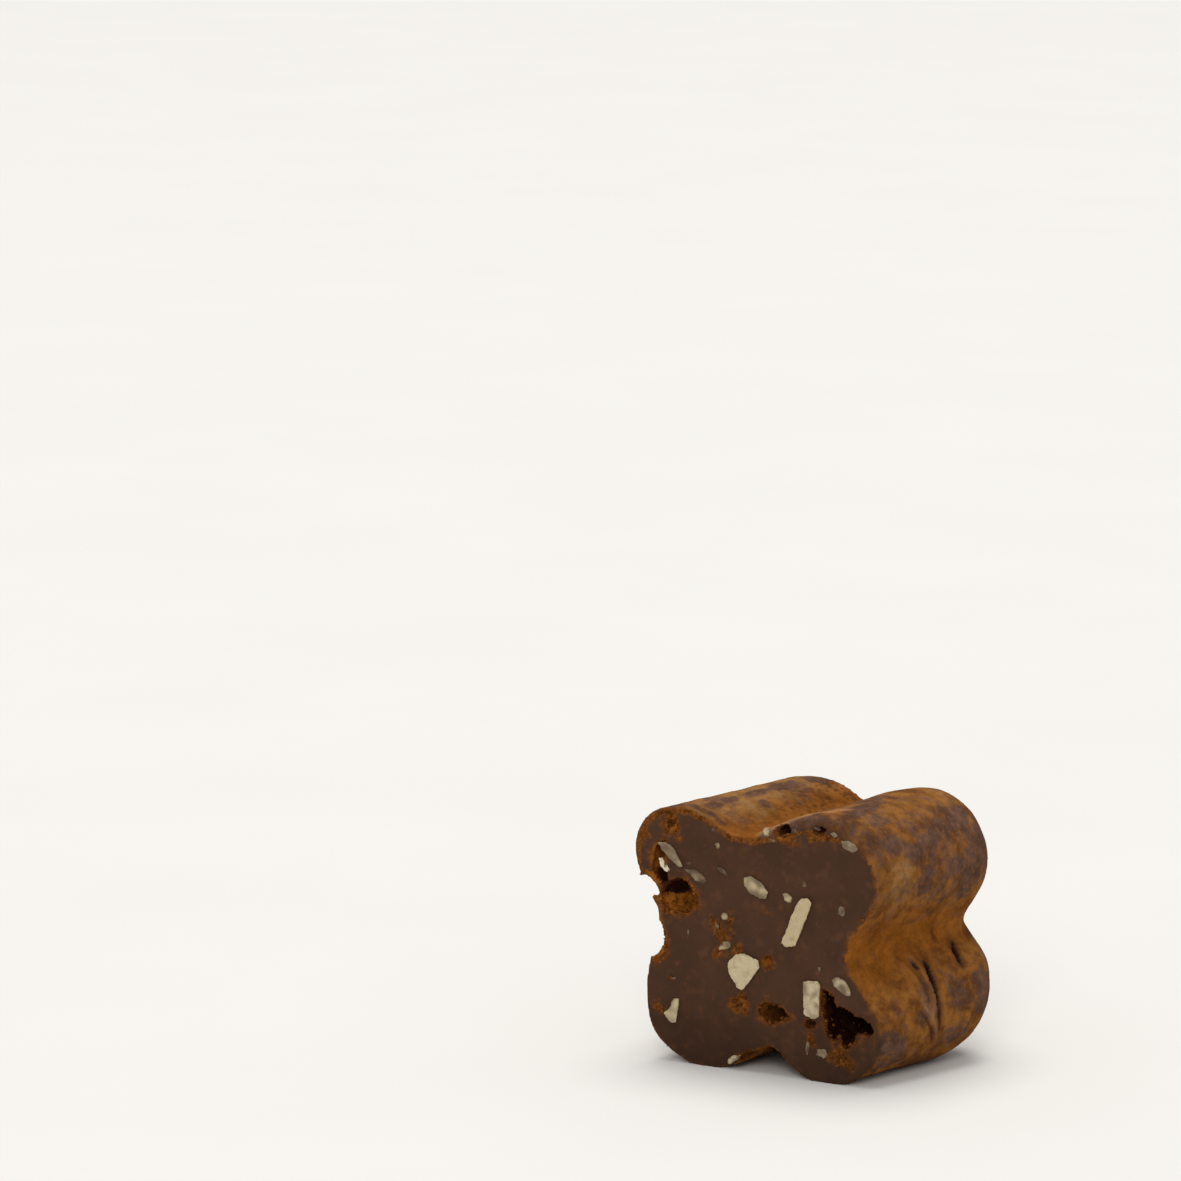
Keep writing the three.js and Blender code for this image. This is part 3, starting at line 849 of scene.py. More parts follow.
HIDDEN_SPOTS = 20
HIDDEN_DEGREES = (195, 318)
chance = random.Random(21)
spots = [place[1:] for place in BARE_SPOTS]
for _ in range(HIDDEN_SPOTS):
    at = (chance.uniform(*HIDDEN_DEGREES), chance.uniform(-7, 7))
    size = (chance.uniform(1.6, 4.6), chance.uniform(0.9, 2.8))
    spots.append((at, size, chance.uniform(0.5, 1)))
frayed = 0.5 * grain(points, 1.6, 14) + 0.4 * grain(points, 0.6, 15)


def patches(places, ragged):
    return np.maximum.reduce([share * spot(skin, at, size, ragged) for at, size, share in places])


bare = patches(spots, 0.8 * frayed) * (1 - 0.8 * patches(FRESH_SPOTS, frayed))
scattered_bare = ramp(0.05, 0.6, grain(points, 1.9, 16) + 0.5 * grain(points, 0.7, 17))
handled = np.maximum(ramp(6.5, 8.5, skin["y"]), hump_at(skin["degrees"], 250, 80, 4))
bare = np.maximum(bare, (0.4 + 0.4 * handled) * scattered_bare * (1 - 0.8 * in_groove))
print("bare share of the skin:", round(float(bare[kinds == SKIN].mean()), 2))

# %% [markdown]
# On the crown of the top left lobe and beside the worn edge the cocoa is dry and sandy, paler than
# in the grooves, where it lies thick and saturated; part of that paleness is a painted sheen on the
# upper faces. The shoulder behind the worn edge is a pale ridge, partly rubbed bare and partly a
# painted highlight on its crest, and the folds' crests carry a painted highlight too. Small dips,
# the folds' furrows and the cracks get painted shade, and some dark spots are only darker cocoa.

# %% Sandy, thick and rubbed cocoa, with painted highlight and painted shade
SANDY_AND_SHEEN_SPOTS = (
    ((332, -2.0), (15.0, 3.6), 0.92),
    ((332, -5.0), (2.6, 1.6), 1.0),
    ((337, -5.2), (2.6, 1.2), 0.9),
    ((337.5, -3.4), (1.6, 0.9), 0.9),
    ((330, -0.2), (2.6, 0.8), 1.0),
    ((338, 1.8), (2.0, 0.9), 0.6),
    ((61, -5.1), (3.8, 2.6), 1.0),
    ((36, -1.0), (8.0, 3.4), 0.35),
    ((38, 3.8), (3.0, 2.6), 0.6),
    ((26.5, -4.6), (3.4, 0.9), 0.8),
    ((235, -2.0), (6.0, 3.0), 0.7),
    ((292, 3.5), (5.0, 3.0), 0.8),
)
# dark spots: painted shade in and beside the cracks and dents, and darker cocoa elsewhere
DARK_AND_SHADED_SPOTS = (
    ((346, -0.5), (14.0, 2.8), 0.4),
    ((345, -7.4), (2.0, 5.0), 0.4),
    ((44, -7.3), (2.4, 6.4), 0.35),
    ((108, 1.2), (3.4, 3.4), 0.2),
    ((95, -2.4), (1.3, 1.2), 0.45),
    ((102.5, -1.8), (0.7, 0.9), 0.8),
    ((89.5, 1.6), (0.6, 1.4), 0.9),
    ((97.5, 3.05), (0.9, 1.8), 0.7),
    ((94.5, 6.0), (2.0, 1.0), 0.7),
    ((113, -1.05), (0.7, 4.4), 0.8),
    ((120.5, -0.7), (1.0, 1.6), 0.6),
    ((350, 5.3), (0.9, 0.7), 0.9),
    ((340, -7.6), (0.9, 0.9), 0.8),
    ((122, -4.6), (1.0, 0.7), 0.5),
)
CREST_REACH = CORE["r"] + 3
RIDGE_CREST = ((3.0, -7.55), (12.0, -7.35), (20.0, -7.0), (25.5, -6.4), (28.0, -5.2))


def gap_to_line(skin, corners):
    gaps = []
    for start, end in zip(corners, corners[1:]):
        place = {"degrees": end[0], "y": end[1], "reach": CREST_REACH}
        way = np.array(from_spot(place, start))
        gaps.append(gap_to_segment(np.stack(from_spot(skin, start), 1), way))
    return np.minimum.reduce(gaps)


# sandy powder, which on the upper faces also stands in for a painted sheen
sandy_and_sheen = patches(SANDY_AND_SHEEN_SPOTS, frayed)
thick = in_groove * (0.85 + 0.5 * grain(points, 2.0, 18))
# the ridge crest is rubbed bare and given a painted highlight; the fold crests get painted highlight
ridge_gap = gap_to_line(skin, RIDGE_CREST) + 0.14 * grain(points, 0.9, 23)
ridge_rub_and_highlight = (1 - ramp(0.12, 0.72, ridge_gap)) * (1 - 0.4 * ramp(22, 30, skin["degrees"]))
rub_and_highlight = np.maximum(ridge_rub_and_highlight, 0.5 * ramp(0.03, 0.12, folded))
# painted shade in the coarse powder's dips, in the folds' furrows and at the dark spots
pit_shade = coarse * ramp(0.0, 0.07, -coarse_relief)
sunk = np.maximum.reduce([patches(DARK_AND_SHADED_SPOTS, frayed), ramp(0.02, 0.07, -folded), pit_shade])
print("sandy share of the skin:", round(float(sandy_and_sheen[kinds == SKIN].mean()), 2))

# %% [markdown]
# The knife carried cocoa over the edge of the cut, most of it along the top left lobe. Along two
# worn stretches, chocolate was rubbed over the edge instead, so that the skin there fades in from
# the colour of the cut.

# %% The edge of the cut
WORN_FADES = table("middle spread wide", (26, 22, 0.9), (132, 17, 1.1))
DUSTY_EDGES = table(
    "middle spread share",
    (322, 34, 1.0),
    (2, 18, 0.9),
    (30, 18, 0.6),
    (283, 18, 0.9),
    (75, 32, 0.5),
    (125, 25, 0.3),
)
fade = np.full(len(points), 0.1)
for worn in WORN_FADES:
    fade += worn["wide"] * hump_at(skin["degrees"], worn["middle"], worn["spread"], 4)
frayed_cut = gap_to_cut * np.maximum(0.3, 1 + 1.6 * grain(points, 0.6, 19))
cut = np.where(kinds == SKIN, (1 - ramp(0, fade, frayed_cut)) * (1 - 0.7 * rub_and_highlight), 1.0)
dusty = np.full(len(points), 0.22)
for edge in DUSTY_EDGES:
    share = edge["share"] * hump_at(skin["degrees"], edge["middle"], edge["spread"], 4)
    dusty = np.maximum(dusty, share)
edge_gap = gap_to_skin + 0.35 * ragged + 0.1 * grain(points, 1.4, 20)
edge_dust = np.where(kinds == SKIN, 0, dusty * (1 - ramp(0.25 * dusty, 0.3 + 0.35 * dusty, edge_gap)))
print("dusty points on the edge:", int((edge_dust > 0.3).sum()))

# %% [markdown]
# Loose cocoa fell into some hollows and hardly into others, so each hollow has its own share of
# it. Some of it was also smeared over the cut end beside them.

# %% Dust on the cut end
HOLLOW_DUST = {"lower hole left": 0.25, "lower hole middle": 0.0, "lower hole right": 0.0,
               "side hollow": 1.0, "side break": 0.9, "lost flake": 1.0, "bottom recess": 0.5,
               "lower slot": 0.5, "left slot": 0.6, "pit by the chunk": 0.7, "top left pit": 0.8}
SMEARS = table(
    "at size share",
    ((-2.4, 10.0), (1.9, 3.6), 0.5),
    ((0.7, 12.3), (1.2, 0.6), 0.3),
    ((6.9, 2.2), (2.2, 1.9), 0.9),
    ((2.6, 17.65), (3.8, 0.9), 0.85),
    ((5.6, 18.2), (5.2, 1.0), 0.8),
    ((-0.9, 5.1), (1.5, 1.5), 0.55),
    ((2.9, 4.8), (1.2, 1.2), 0.35),
    ((1.4, 5.9), (2.0, 0.7), 0.35),
    ((-6.5, 17.6), (1.9, 2.2), 0.7),
    ((1.2, 8.4), (1.1, 1.3), 0.45),
    ((-7.5, 4.0), (1.2, 1.0), 0.5),
    ((-5.2, 4.4), (0.8, 0.9), 0.3),
    ((4.4, 3.4), (0.8, 1.2), 0.55),
    ((-1.6, 8.8), (1.0, 0.8), 0.4),
    ((5.2, 8.3), (0.4, 0.9), 0.35),
    ((5.2, 10.3), (0.4, 1.2), 0.2),
    ((6.1, 10.5), (0.4, 1.4), 0.2),
    ((3.4, 9.0), (0.8, 1.2), 0.2),
    ((-5.2, 9.7), (0.4, 1.0), 0.4),
    ((-6.4, 6.3), (0.9, 0.5), 0.4),
    ((-2.9, 16.4), (0.8, 1.0), 0.3),
    ((0.0, 14.9), (1.2, 0.6), 0.2),
)
flat_gaps = [np.hypot(*(points[:, (0, 2)] - h["at"]).T) - min(h["size"]) / 2 for h in HOLLOWS]
nearest_hollow = np.argmin(flat_gaps, 0)
dust_of = np.array([HOLLOW_DUST.get(h["name"], 0.2) for h in HOLLOWS])[nearest_hollow]
in_channel = gap_to_path(points, CHANNEL["path"]) < CHANNEL["wide"]
dust_of = np.where(in_channel, 0.75 * ramp(13.6, 14.8, points[:, 2]), dust_of)
halo = np.exp(-gap_to_hollow / 0.28) * (0.45 + 0.55 * dust_of)
halo = np.maximum(halo, 0.8 * np.exp(-gap_to_nick / 0.22))
smear = np.zeros(len(points))
for patch in SMEARS:
    off = (points[:, (0, 2)] - patch["at"]) / (np.array(patch["size"]) / 2)
    gap = np.hypot(*off.T) + 2.2 * ragged + 0.8 * grain(points, 0.8, 22)
    smear = np.maximum(smear, patch["share"] * (1 - ramp(0.3, 1.3, gap)))
dust = np.where(is_cut, np.maximum.reduce([halo, smear, edge_dust]), edge_dust)
dust = np.where(kinds == HOLLOW, dust_of, dust)
print("dust on the cut end:", round(float(dust[is_cut].mean()), 2))

# %% [markdown]
# A crack is a hollow far behind the cut end. It gets painted shade, darkest at its wide start, and
# painted shade also darkens the skin beside it. How deep a point lies in a hollow or a nick sets how
# much painted shade the material gives it.

# %% Keep them in the mesh
behind = points[:, 1] - CUT_Y - LEAN[0] * (points[:, 0] - CORE["x"])
deep = np.maximum(ramp(0.1, 1.1, behind) * hollow_share, ramp(0.1, 0.6, nick_depth) * is_cut)
is_crack = (kinds == HOLLOW) & (gap_to_cut > 1.2) & (behind > 3.5)
# painted shade in the crack, darkest at its wide start
deep = np.where(is_crack, 0.9 - 0.7 * ramp(104, 116, skin["degrees"]), deep)
crack_shade = np.exp(-((gap_to(points, points[is_crack]) / 0.3) ** 2))
# painted shade on the skin beside the cracks
sunk = np.maximum(sunk, 0.75 * crack_shade)
values = {"cut": cut, "hollow": hollow_share, "deep": deep, "dust": dust}
values.update({"bare": bare, "sandy_and_sheen": sandy_and_sheen, "thick": thick, "rub_and_highlight": rub_and_highlight, "sunk": sunk})
for name, value in values.items():
    set_values(bar.data, name, np.clip(value, 0, 1))
bar.data.shade_smooth()
print("attributes:", ", ".join(values))

# %% [markdown]
# ## Into the frame
#
# The piece stands on its two lower lobes with the middle of its box over the origin. The shift is
# the gap between the middle of the frame's box and the middle of the bar's, and the height is that
# of the feet, which are pressed flat.

# %% The shift from the bar to the frame
cad_middle = (cad_low + cad_high) / 2 / MM
bar_middle = (box.min(0) + box.max(0)) / 2
SHIFT = Vector((cad_middle.x - bar_middle[0], cad_middle.y - bar_middle[1], -FOOT_DEPTH))
TO_FRAME = Matrix.Scale(MM, 4) @ Matrix.Translation(SHIFT)
print("shift in mm:", [round(v, 3) for v in SHIFT])


def finish_piece(obj, name, material):
    obj.name = name
    obj.data.name = name
    obj.data.transform(TO_FRAME)
    obj.data.materials.clear()
    obj.data.materials.append(material)
    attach(obj, "root")
    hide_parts("truffle")


def triangles(obj):
    return sum(len(face.vertices) - 2 for face in obj.data.polygons)


# %% [markdown]
# ## Nuts
#
# The knife went through chopped hazelnuts, which show as flat pale faces with blunt corners. Each
# is drawn by the few corners of its outline, thickened into the paste, and left a hair proud of
# the cut. All of them are then remeshed together, which rounds their edges as chopping does. The
# last column has the corners of an outline in millimetres from the place of its nut.

# %% Outlines of the nuts
CREAM = 0.0  # clean flesh, while a film of 1 is all chocolate
WHITE = -0.5  # clean, and as pale as nuts get
NUTS = table(
    "name at proud film outline",
    ("chunk", (-0.68, 7.54), 0.2, CREAM,
     ((-0.6, 1.29), (0.11, 1.42), (1.24, 1.03), (1.3, 0.48), (0.68, -0.43), (0.27, -1.04),
      (-0.1, -1.45), (-0.5, -1.2), (-0.82, -0.7), (-1.28, -0.1), (-1.28, 0.45))),
    ("rod", (3.48, 11.66), 0.2, CREAM,
     ((0.35, 1.85), (0.95, 1.93), (1.24, 1.56), (0.5, -0.34), (-0.09, -1.71), (-0.8, -1.93),
      (-1.22, -1.65), (-0.67, -0.31), (-0.16, 1.05))),
    ("block", (4.68, 6.19), 0.2, 0.24,
     ((-0.67, 1.25), (0.5, 1.44), (0.74, 1.1), (0.66, -0.1), (0.6, -1.25), (0.2, -1.46), (-0.5, -1.3),
      (-0.7, -0.5))),
    ("oval", (0.27, 13.86), 0.16, 0.42,
     ((-1.0, 0.63), (-0.5, 0.86), (0.44, 0.45), (1.0, -0.26), (0.82, -0.72), (0.35, -0.86),
      (-0.4, -0.51), (-0.87, 0.04))),
    ("nub", (2.71, 13.39), 0.1, 0.3,
     ((-0.42, 0.24), (-0.05, 0.37), (0.42, 0.08), (0.33, -0.37), (-0.14, -0.25))),
    ("long chip", (-6.57, 15.53), 0.18, 0.6,
     ((-1.03, 0.78), (-0.46, 0.93), (0.3, 0.49), (0.68, -0.16), (1.03, -0.82), (0.7, -0.9), (0.0, -0.4),
      (-0.6, 0.15))),
    ("bright chip", (-7.1, 14.7), 0.1, WHITE,
     ((-0.5, 0.45), (-0.15, 0.5), (0.25, 0.05), (0.5, -0.45), (0.15, -0.55), (-0.3, -0.2))),
    ("slanted chip", (-4.57, 14.11), 0.1, 0.82,
     ((-0.96, 0.43), (-0.17, 0.52), (0.59, 0.17), (0.96, -0.22), (0.68, -0.52), (0.02, -0.33))),
    ("wedge", (-6.45, 4.01), 0.18, 0.2,
     ((0.22, 0.91), (0.64, 0.97), (0.6, 0.17), (0.38, -0.91), (-0.06, -0.97), (-0.64, -0.34),
      (-0.2, 0.1))),
    ("lower right chip", (7.0, 7.4), 0.12, 0.5,
     ((-0.78, 0.42), (-0.35, 0.7), (0.25, 0.5), (0.62, 0.0), (0.75, -0.6), (0.35, -0.7), (-0.3, -0.3),
      (-0.65, 0.0))),
    ("top right chip", (7.5, 17.65), 0.08, 0.6,
     ((-0.69, 0.34), (-0.05, 0.45), (0.5, 0.13), (0.69, -0.19), (0.23, -0.45), (-0.5, -0.15))),
    ("bottom left chip", (-1.38, 0.96), 0.12, 0.3,
     ((-0.56, -0.04), (-0.09, 0.32), (0.56, 0.41), (0.19, 0.0), (-0.28, -0.41), (-0.56, -0.39))),
    ("groove nut", (0.98, 17.9), 0.15, 0.32,
     ((-0.26, 0.2), (0.03, 0.4), (0.26, 0.1), (0.26, -0.25), (-0.03, -0.4), (-0.24, -0.26))),
)
print(len(NUTS), "nuts with an outline of their own")

# %% [markdown]
# The smaller bits are rounded lumps with five to seven corners, told apart by their place, size,
# turn and by how much chocolate films them.

# %% Small bits of nut
BITS = table(
    "at size turn film",
    ((5.45, 2.3), (1.1, 0.75), 10, 0.55),
    ((4.35, 2.5), (0.4, 1.2), 5, 0.8),
    ((-2.15, 9.3), (1.25, 0.6), -30, 0.4),
    ((-2.95, 10.8), (0.4, 1.1), -15, 0.6),
    ((-2.25, 11.4), (0.65, 0.6), 0, 0.5),
    ((-2.84, 16.52), (0.45, 0.6), 0, 0.35),
    ((6.95, 12.85), (0.65, 0.9), 15, 0.85),
    ((-2.4, 14.7), (1.0, 0.4), 35, 0.9),
    ((4.0, 14.5), (0.35, 0.5), 0, 0.85),
    ((5.23, 8.31), (0.3, 0.7), 0, 0.85),
    ((-6.3, 6.36), (0.6, 0.25), -10, 0.8),
    ((-5.15, 9.85), (0.25, 0.6), 0, 0.85),
    ((-3.15, 17.7), (0.45, 0.4), 0, 0.88),
    ((4.9, 18.6), (0.7, 0.35), 10, 0.92),
    ((6.3, 18.35), (0.7, 0.35), 15, 0.78),
    ((3.2, 18.3), (0.5, 0.4), 0, 0.9),
    ((1.5, 17.4), (0.45, 0.4), 0, 0.8),
    ((-5.1, 15.0), (0.5, 0.35), 0, 0.88),
)


def ring_outline(bit, corners, seed):
    wave = random.Random(seed)
    outline = []
    for k in range(corners):
        turn = 2 * math.pi * (k + wave.uniform(-0.25, 0.25)) / corners
        reach = wave.uniform(0.85, 1.15)
        x = math.cos(turn) * reach * bit["size"][0] / 2
        z = math.sin(turn) * reach * bit["size"][1] / 2
        c, s = math.cos(math.radians(bit["turn"])), math.sin(math.radians(bit["turn"]))
        outline.append((x * c + z * s, z * c - x * s))
    return outline


all_nuts = list(NUTS)
for i, bit in enumerate(BITS):
    outline = ring_outline(bit, 5 + i % 3, 60 + i)
    all_nuts.append({"at": bit["at"], "proud": 0.08, "film": bit["film"], "outline": outline})
print(len(all_nuts), "nuts in all")

# %% [markdown]
# Extruding a flat outline gives a chopped block, drawn in a little at its hidden back. The blocks
# are one mesh, and each remembers its number in its face index, which survives the remesh in the
# same way as the kinds of the body's faces.

# %% Make the nuts
NUT_DEPTH = 0.8  # how far the nuts reach into the paste
START_OUT = 3  # how far in front of the cut end a ray starts that looks for it
FOLLOW = 0.15  # a nut follows the waves of the cut end no further than this
TAPER = 0.35  # how far the hidden back of a nut is drawn in, so that it stays inside the paste
NUT_VOXEL = 0.055
body_tree = BVHTree.FromPolygons(
    [vert.co for vert in bar.data.vertices], [tuple(face.vertices) for face in bar.data.polygons]
)


def surface_lift(x, z):
    start = on_cut(x, z, -START_OUT)
    hit = body_tree.ray_cast(start, -CUT_NORMAL)
    return START_OUT - hit[3] if hit[3] else 0.0


def nut_block(bm, nut, number):
    x, z = nut["at"]
    wall = min(max(surface_lift(x, z), -FOLLOW), FOLLOW)
    corners = []
    for dx, dz in nut["outline"]:
        corners.append(bm.verts.new(on_cut(x + dx, z + dz, -wall - nut["proud"])))
    face = bm.faces.new(corners)
    face.normal_update()
    if face.normal.dot(CUT_NORMAL) < 0:
        face.normal_flip()
    pushed = bmesh.ops.extrude_face_region(bm, geom=[face])
    pushed_verts = [item for item in pushed["geom"] if isinstance(item, bmesh.types.BMVert)]
    bmesh.ops.translate(bm, verts=pushed_verts, vec=CUT_NORMAL * NUT_DEPTH)
    bmesh.ops.translate(bm, verts=corners + pushed_verts, vec=-CUT_NORMAL * NUT_DEPTH)
    middle = sum((vert.co for vert in corners), Vector()) / len(corners)
    for vert in corners:
        vert.co = vert.co.lerp(middle, TAPER)
    block = {face for vert in corners + pushed_verts for face in vert.link_faces}
    for face in block:
        face.material_index = number
    bmesh.ops.recalc_face_normals(bm, faces=list(block))


nut_bm = bmesh.new()
for number, nut in enumerate(all_nuts):
    nut_block(nut_bm, nut, number)
nuts = new_object("nuts", nut_bm)
find_numbers = kind_finder(nuts.data)
even_mesh(nuts, NUT_VOXEL)
softened = nuts.modifiers.new("soften", "SMOOTH")
softened.factor = 0.5
softened.iterations = 9
apply_modifiers(nuts)
print("nuts:", len(nuts.data.vertices), "points")

# %% [markdown]
# A cut nut is slightly grainy and has torn patches. The paste clings to the foot of its rim, so
# the film of chocolate is strongest where the nut meets the cut end.

# %% Grain and film of the nuts
nut_points = points_of(nuts.data)
numbers = find_numbers(nut_points)
nut_lift = 0.07 * grain(nut_points, 0.5, 31) + 0.035 * grain(nut_points, 0.18, 32)
nut_points = nut_points + normals_of(nuts.data) * nut_lift[:, None]
set_points(nuts.data, nut_points)
above = []
for p in nut_points:
    nearest, normal = body_tree.find_nearest(p)[:2]
    above.append((Vector(p) - nearest).dot(normal))
above = np.array(above)
frayed_film = 0.06 * grain(nut_points, 0.4, 33) + 0.03 * grain(nut_points, 0.15, 34)
rim_film = 1 - ramp(0.0, 0.12, above + frayed_film)
own_film = np.array([nut["film"] for nut in all_nuts])[numbers]
uneven_film = own_film + 0.5 * grain(nut_points, 0.6, 35) * (own_film > 0)
seams = gap_to(nut_points, nut_points[(above > -0.02) & (above < 0.04)])
edge_film = (0.35 + 0.5 * own_film) * (1 - ramp(0.05, 0.28, seams + frayed_film))
film = np.clip(np.maximum.reduce([rim_film, uneven_film, edge_film]), 0, 1)
tones = [random.Random(80 + k).uniform(0.4, 1) * (nut["film"] >= 0) for k, nut in enumerate(all_nuts)]
tone = np.array(tones)[numbers]
set_values(nuts.data, "film", film)
set_values(nuts.data, "tone", tone)
nuts.data.shade_smooth()
print("filmed share:", round(float(film[above > 0].mean()), 2))

# %% [markdown]
# ## Crumbs and grains
#
# Cutting tore small crumbs off, which lie in the hollows and along their rims, and the skin
# carries grains of cocoa. Each is a small lump of real mesh with a few dozen faces at most. A few
# base lumps are made from a coarse sphere, and copies of them, turned and stretched at random, are
# gathered into one mesh.


# %% Scatter small lumps
def base_lumps(count, rings, seed):
    lumps = []
    for k in range(count):
        bm = bmesh.new()
        bmesh.ops.create_uvsphere(bm, u_segments=rings + 2, v_segments=rings, radius=0.5)
        for vert in bm.verts:
            vert.co *= 1 + 0.9 * noise.noise(vert.co * 3.1 + Vector((seed, k * 5.3, 0)))
        mesh = bpy.data.meshes.new("lump")
        bm.to_mesh(mesh)
        bm.free()
        lumps.append(mesh)
    return lumps


def scatter(name, lumps, weights, count, sizes, sunk, seed):
    rng = np.random.default_rng(seed)
    places = rng.choice(len(weights), count, p=weights / weights.sum())
    ground, outward = points_of(bar.data), normals_of(bar.data)
    bm = bmesh.new()
    tones = []
    for k, place in enumerate(places):
        size = sizes[0] * (sizes[1] / sizes[0]) ** (rng.random() ** 1.6)
        aside = rng.uniform(-size / 6, size / 6, 3)
        middle = ground[place] + outward[place] * size * (0.5 - sunk) + aside
        axis = Vector(rng.normal(0, 1, 3)).normalized()
        spin = Matrix.Rotation(rng.uniform(0, 2 * math.pi), 4, axis)
        stretch = Matrix.Diagonal((*(size * rng.uniform(0.75, 1.3, 3)), 1))
        piece = lumps[k % len(lumps)].copy()
        piece.transform(Matrix.Translation(middle) @ spin @ stretch)
        bm.from_mesh(piece)
        tones += [rng.random()] * len(piece.vertices)
        bpy.data.meshes.remove(piece)
    for vert in bm.verts:
        vert.co.z = max(vert.co.z, FOOT_DEPTH)
    obj = new_object(name, bm)
    set_values(obj.data, "tone", tones)
    obj.data.shade_smooth()
    print(name, len(obj.data.polygons), "faces")
    return obj


# %% [markdown]
# Where a crumb may lie is a weight on the body's points: high in dusty hollows and on rims, and
# zero elsewhere. Specks lie all over the cut end, most of them where it is dusty. The grains are
# spread over the skin, thinly where it is bare.

# %% Crumbs and grains
CRUMBS = 700
FACE_SPECKS = 260
GRAINS = 3000
LEFT_EDGE = -7.6  # crumbs beyond it would stick out of the outline
lumps = base_lumps(5, 5, 41)
grits = base_lumps(4, 3, 42)
in_hollow = (kinds == HOLLOW) & ~is_crack
is_inside = points[:, 0] > LEFT_EDGE
crumb_weight = in_hollow * (0.1 + dust) * (1 - 0.7 * deep) * is_inside
near_rim = 1.2 * ramp(0.25, 0.8, halo) * is_inside
crumb_weight = crumb_weight + is_cut * (near_rim + 0.7 * ramp(0.2, 0.7, smear))
crumb_weight += is_cut * 0.3 * ramp(0.3, 0.8, edge_dust)
crumbs = scatter("crumbs", lumps, crumb_weight, CRUMBS, (0.08, 0.3), 0.4, 51)
speck_weight = is_cut * (0.04 + np.clip(halo + smear + edge_dust, 0, 1))
specks = scatter("specks", grits, speck_weight.astype(float), FACE_SPECKS, (0.05, 0.12), 0.45, 52)
grain_weight = (kinds == SKIN) * (1 - 0.75 * bare) * (1 - cut) * (1 + 3.5 * coarse)
grains = scatter("grains", grits, grain_weight, GRAINS, (0.035, 0.09), 0.6, 53)

# %% [markdown]
# ## Colours
#
# Colours are sRGB hex values, as a paint chart gives them. The shader wants linear light, so one
# function turns them.


# %% Colour and node helpers
def colour(hex_value):
    channels = []
    for place in (16, 8, 0):
        c = ((hex_value >> place) & 255) / 255
        channels.append(c / 12.92 if c <= 0.04045 else ((c + 0.055) / 1.055) ** 2.4)
    return (*channels, 1.0)


def add(tree, kind, inputs=None, out=0, **settings):
    node = tree.nodes.new("ShaderNode" + kind)
    for name, value in settings.items():
        setattr(node, name, value)
    for socket, value in (inputs or {}).items():
        if isinstance(value, bpy.types.NodeSocket):
            tree.links.new(value, node.inputs[socket])
        else:
            node.inputs[socket].default_value = value
    return node.outputs[out] if node.outputs else node


print("caked cocoa in linear light:", [round(c, 3) for c in colour(0x8A5A29)])

# %% [markdown]
# Two kinds of node come again and again, so their settings and sockets are named once: a mix of
# two colours, whose result is the third output, and a soft step from one value to another. A noise
# is measured by the size of its lumps in millimetres. Most finishes are layers of colour: each
# layer has a pattern, the two values between which it fades in, its greatest share, and a colour.

# %% Settings that come again
BLEND = {"data_type": "RGBA", "out": 2}
SHADE = {"data_type": "RGBA", "out": 2, "blend_type": "MULTIPLY"}
SOFT = {"interpolation_type": "SMOOTHSTEP"}
SHARE, FIRST, SECOND = 0, 6, 7
VALUE, LOW, HIGH, LEAST, MOST = range(5)


def lumps_of(place, size, detail=3.0, rough=0.55):
    return {"Vector": place, "Scale": 1 / (size * MM), "Detail": detail, "Roughness": rough}


def layered(tree, base, *layers):
    for pattern, start, full, most, tint in layers:
        step = {VALUE: pattern, LOW: start, HIGH: full, MOST: most}
        share = add(tree, "MapRange", step, **SOFT)
        base = add(tree, "Mix", {SHARE: share, FIRST: base, SECOND: colour(tint)}, **BLEND)
    return base


def start_material(name):
    material = bpy.data.materials.new(name)
    material.use_nodes = True
    material.node_tree.nodes.clear()
    return material, material.node_tree, add(material.node_tree, "TexCoord", out="Object")


def end_material(material, finish):
    surface = add(material.node_tree, "BsdfPrincipled", finish)
    add(material.node_tree, "OutputMaterial", {"Surface": surface})
    return material


print("a noise of 1 mm has the scale", lumps_of(None, 1.0)["Scale"])

# %% [markdown]
# ## Cocoa powder over chocolate
#
# Dry cocoa powder is matt and orange-brown. Where it was rubbed off, the chocolate shows a greyish
# brown, because fat has bloomed on its surface. The patches have the millimetre size given above,
# their frayed borders are finer noise, and grains of a fifth of a millimetre, drawn a little
# coarser than the real powder so that they show, break up the rest.


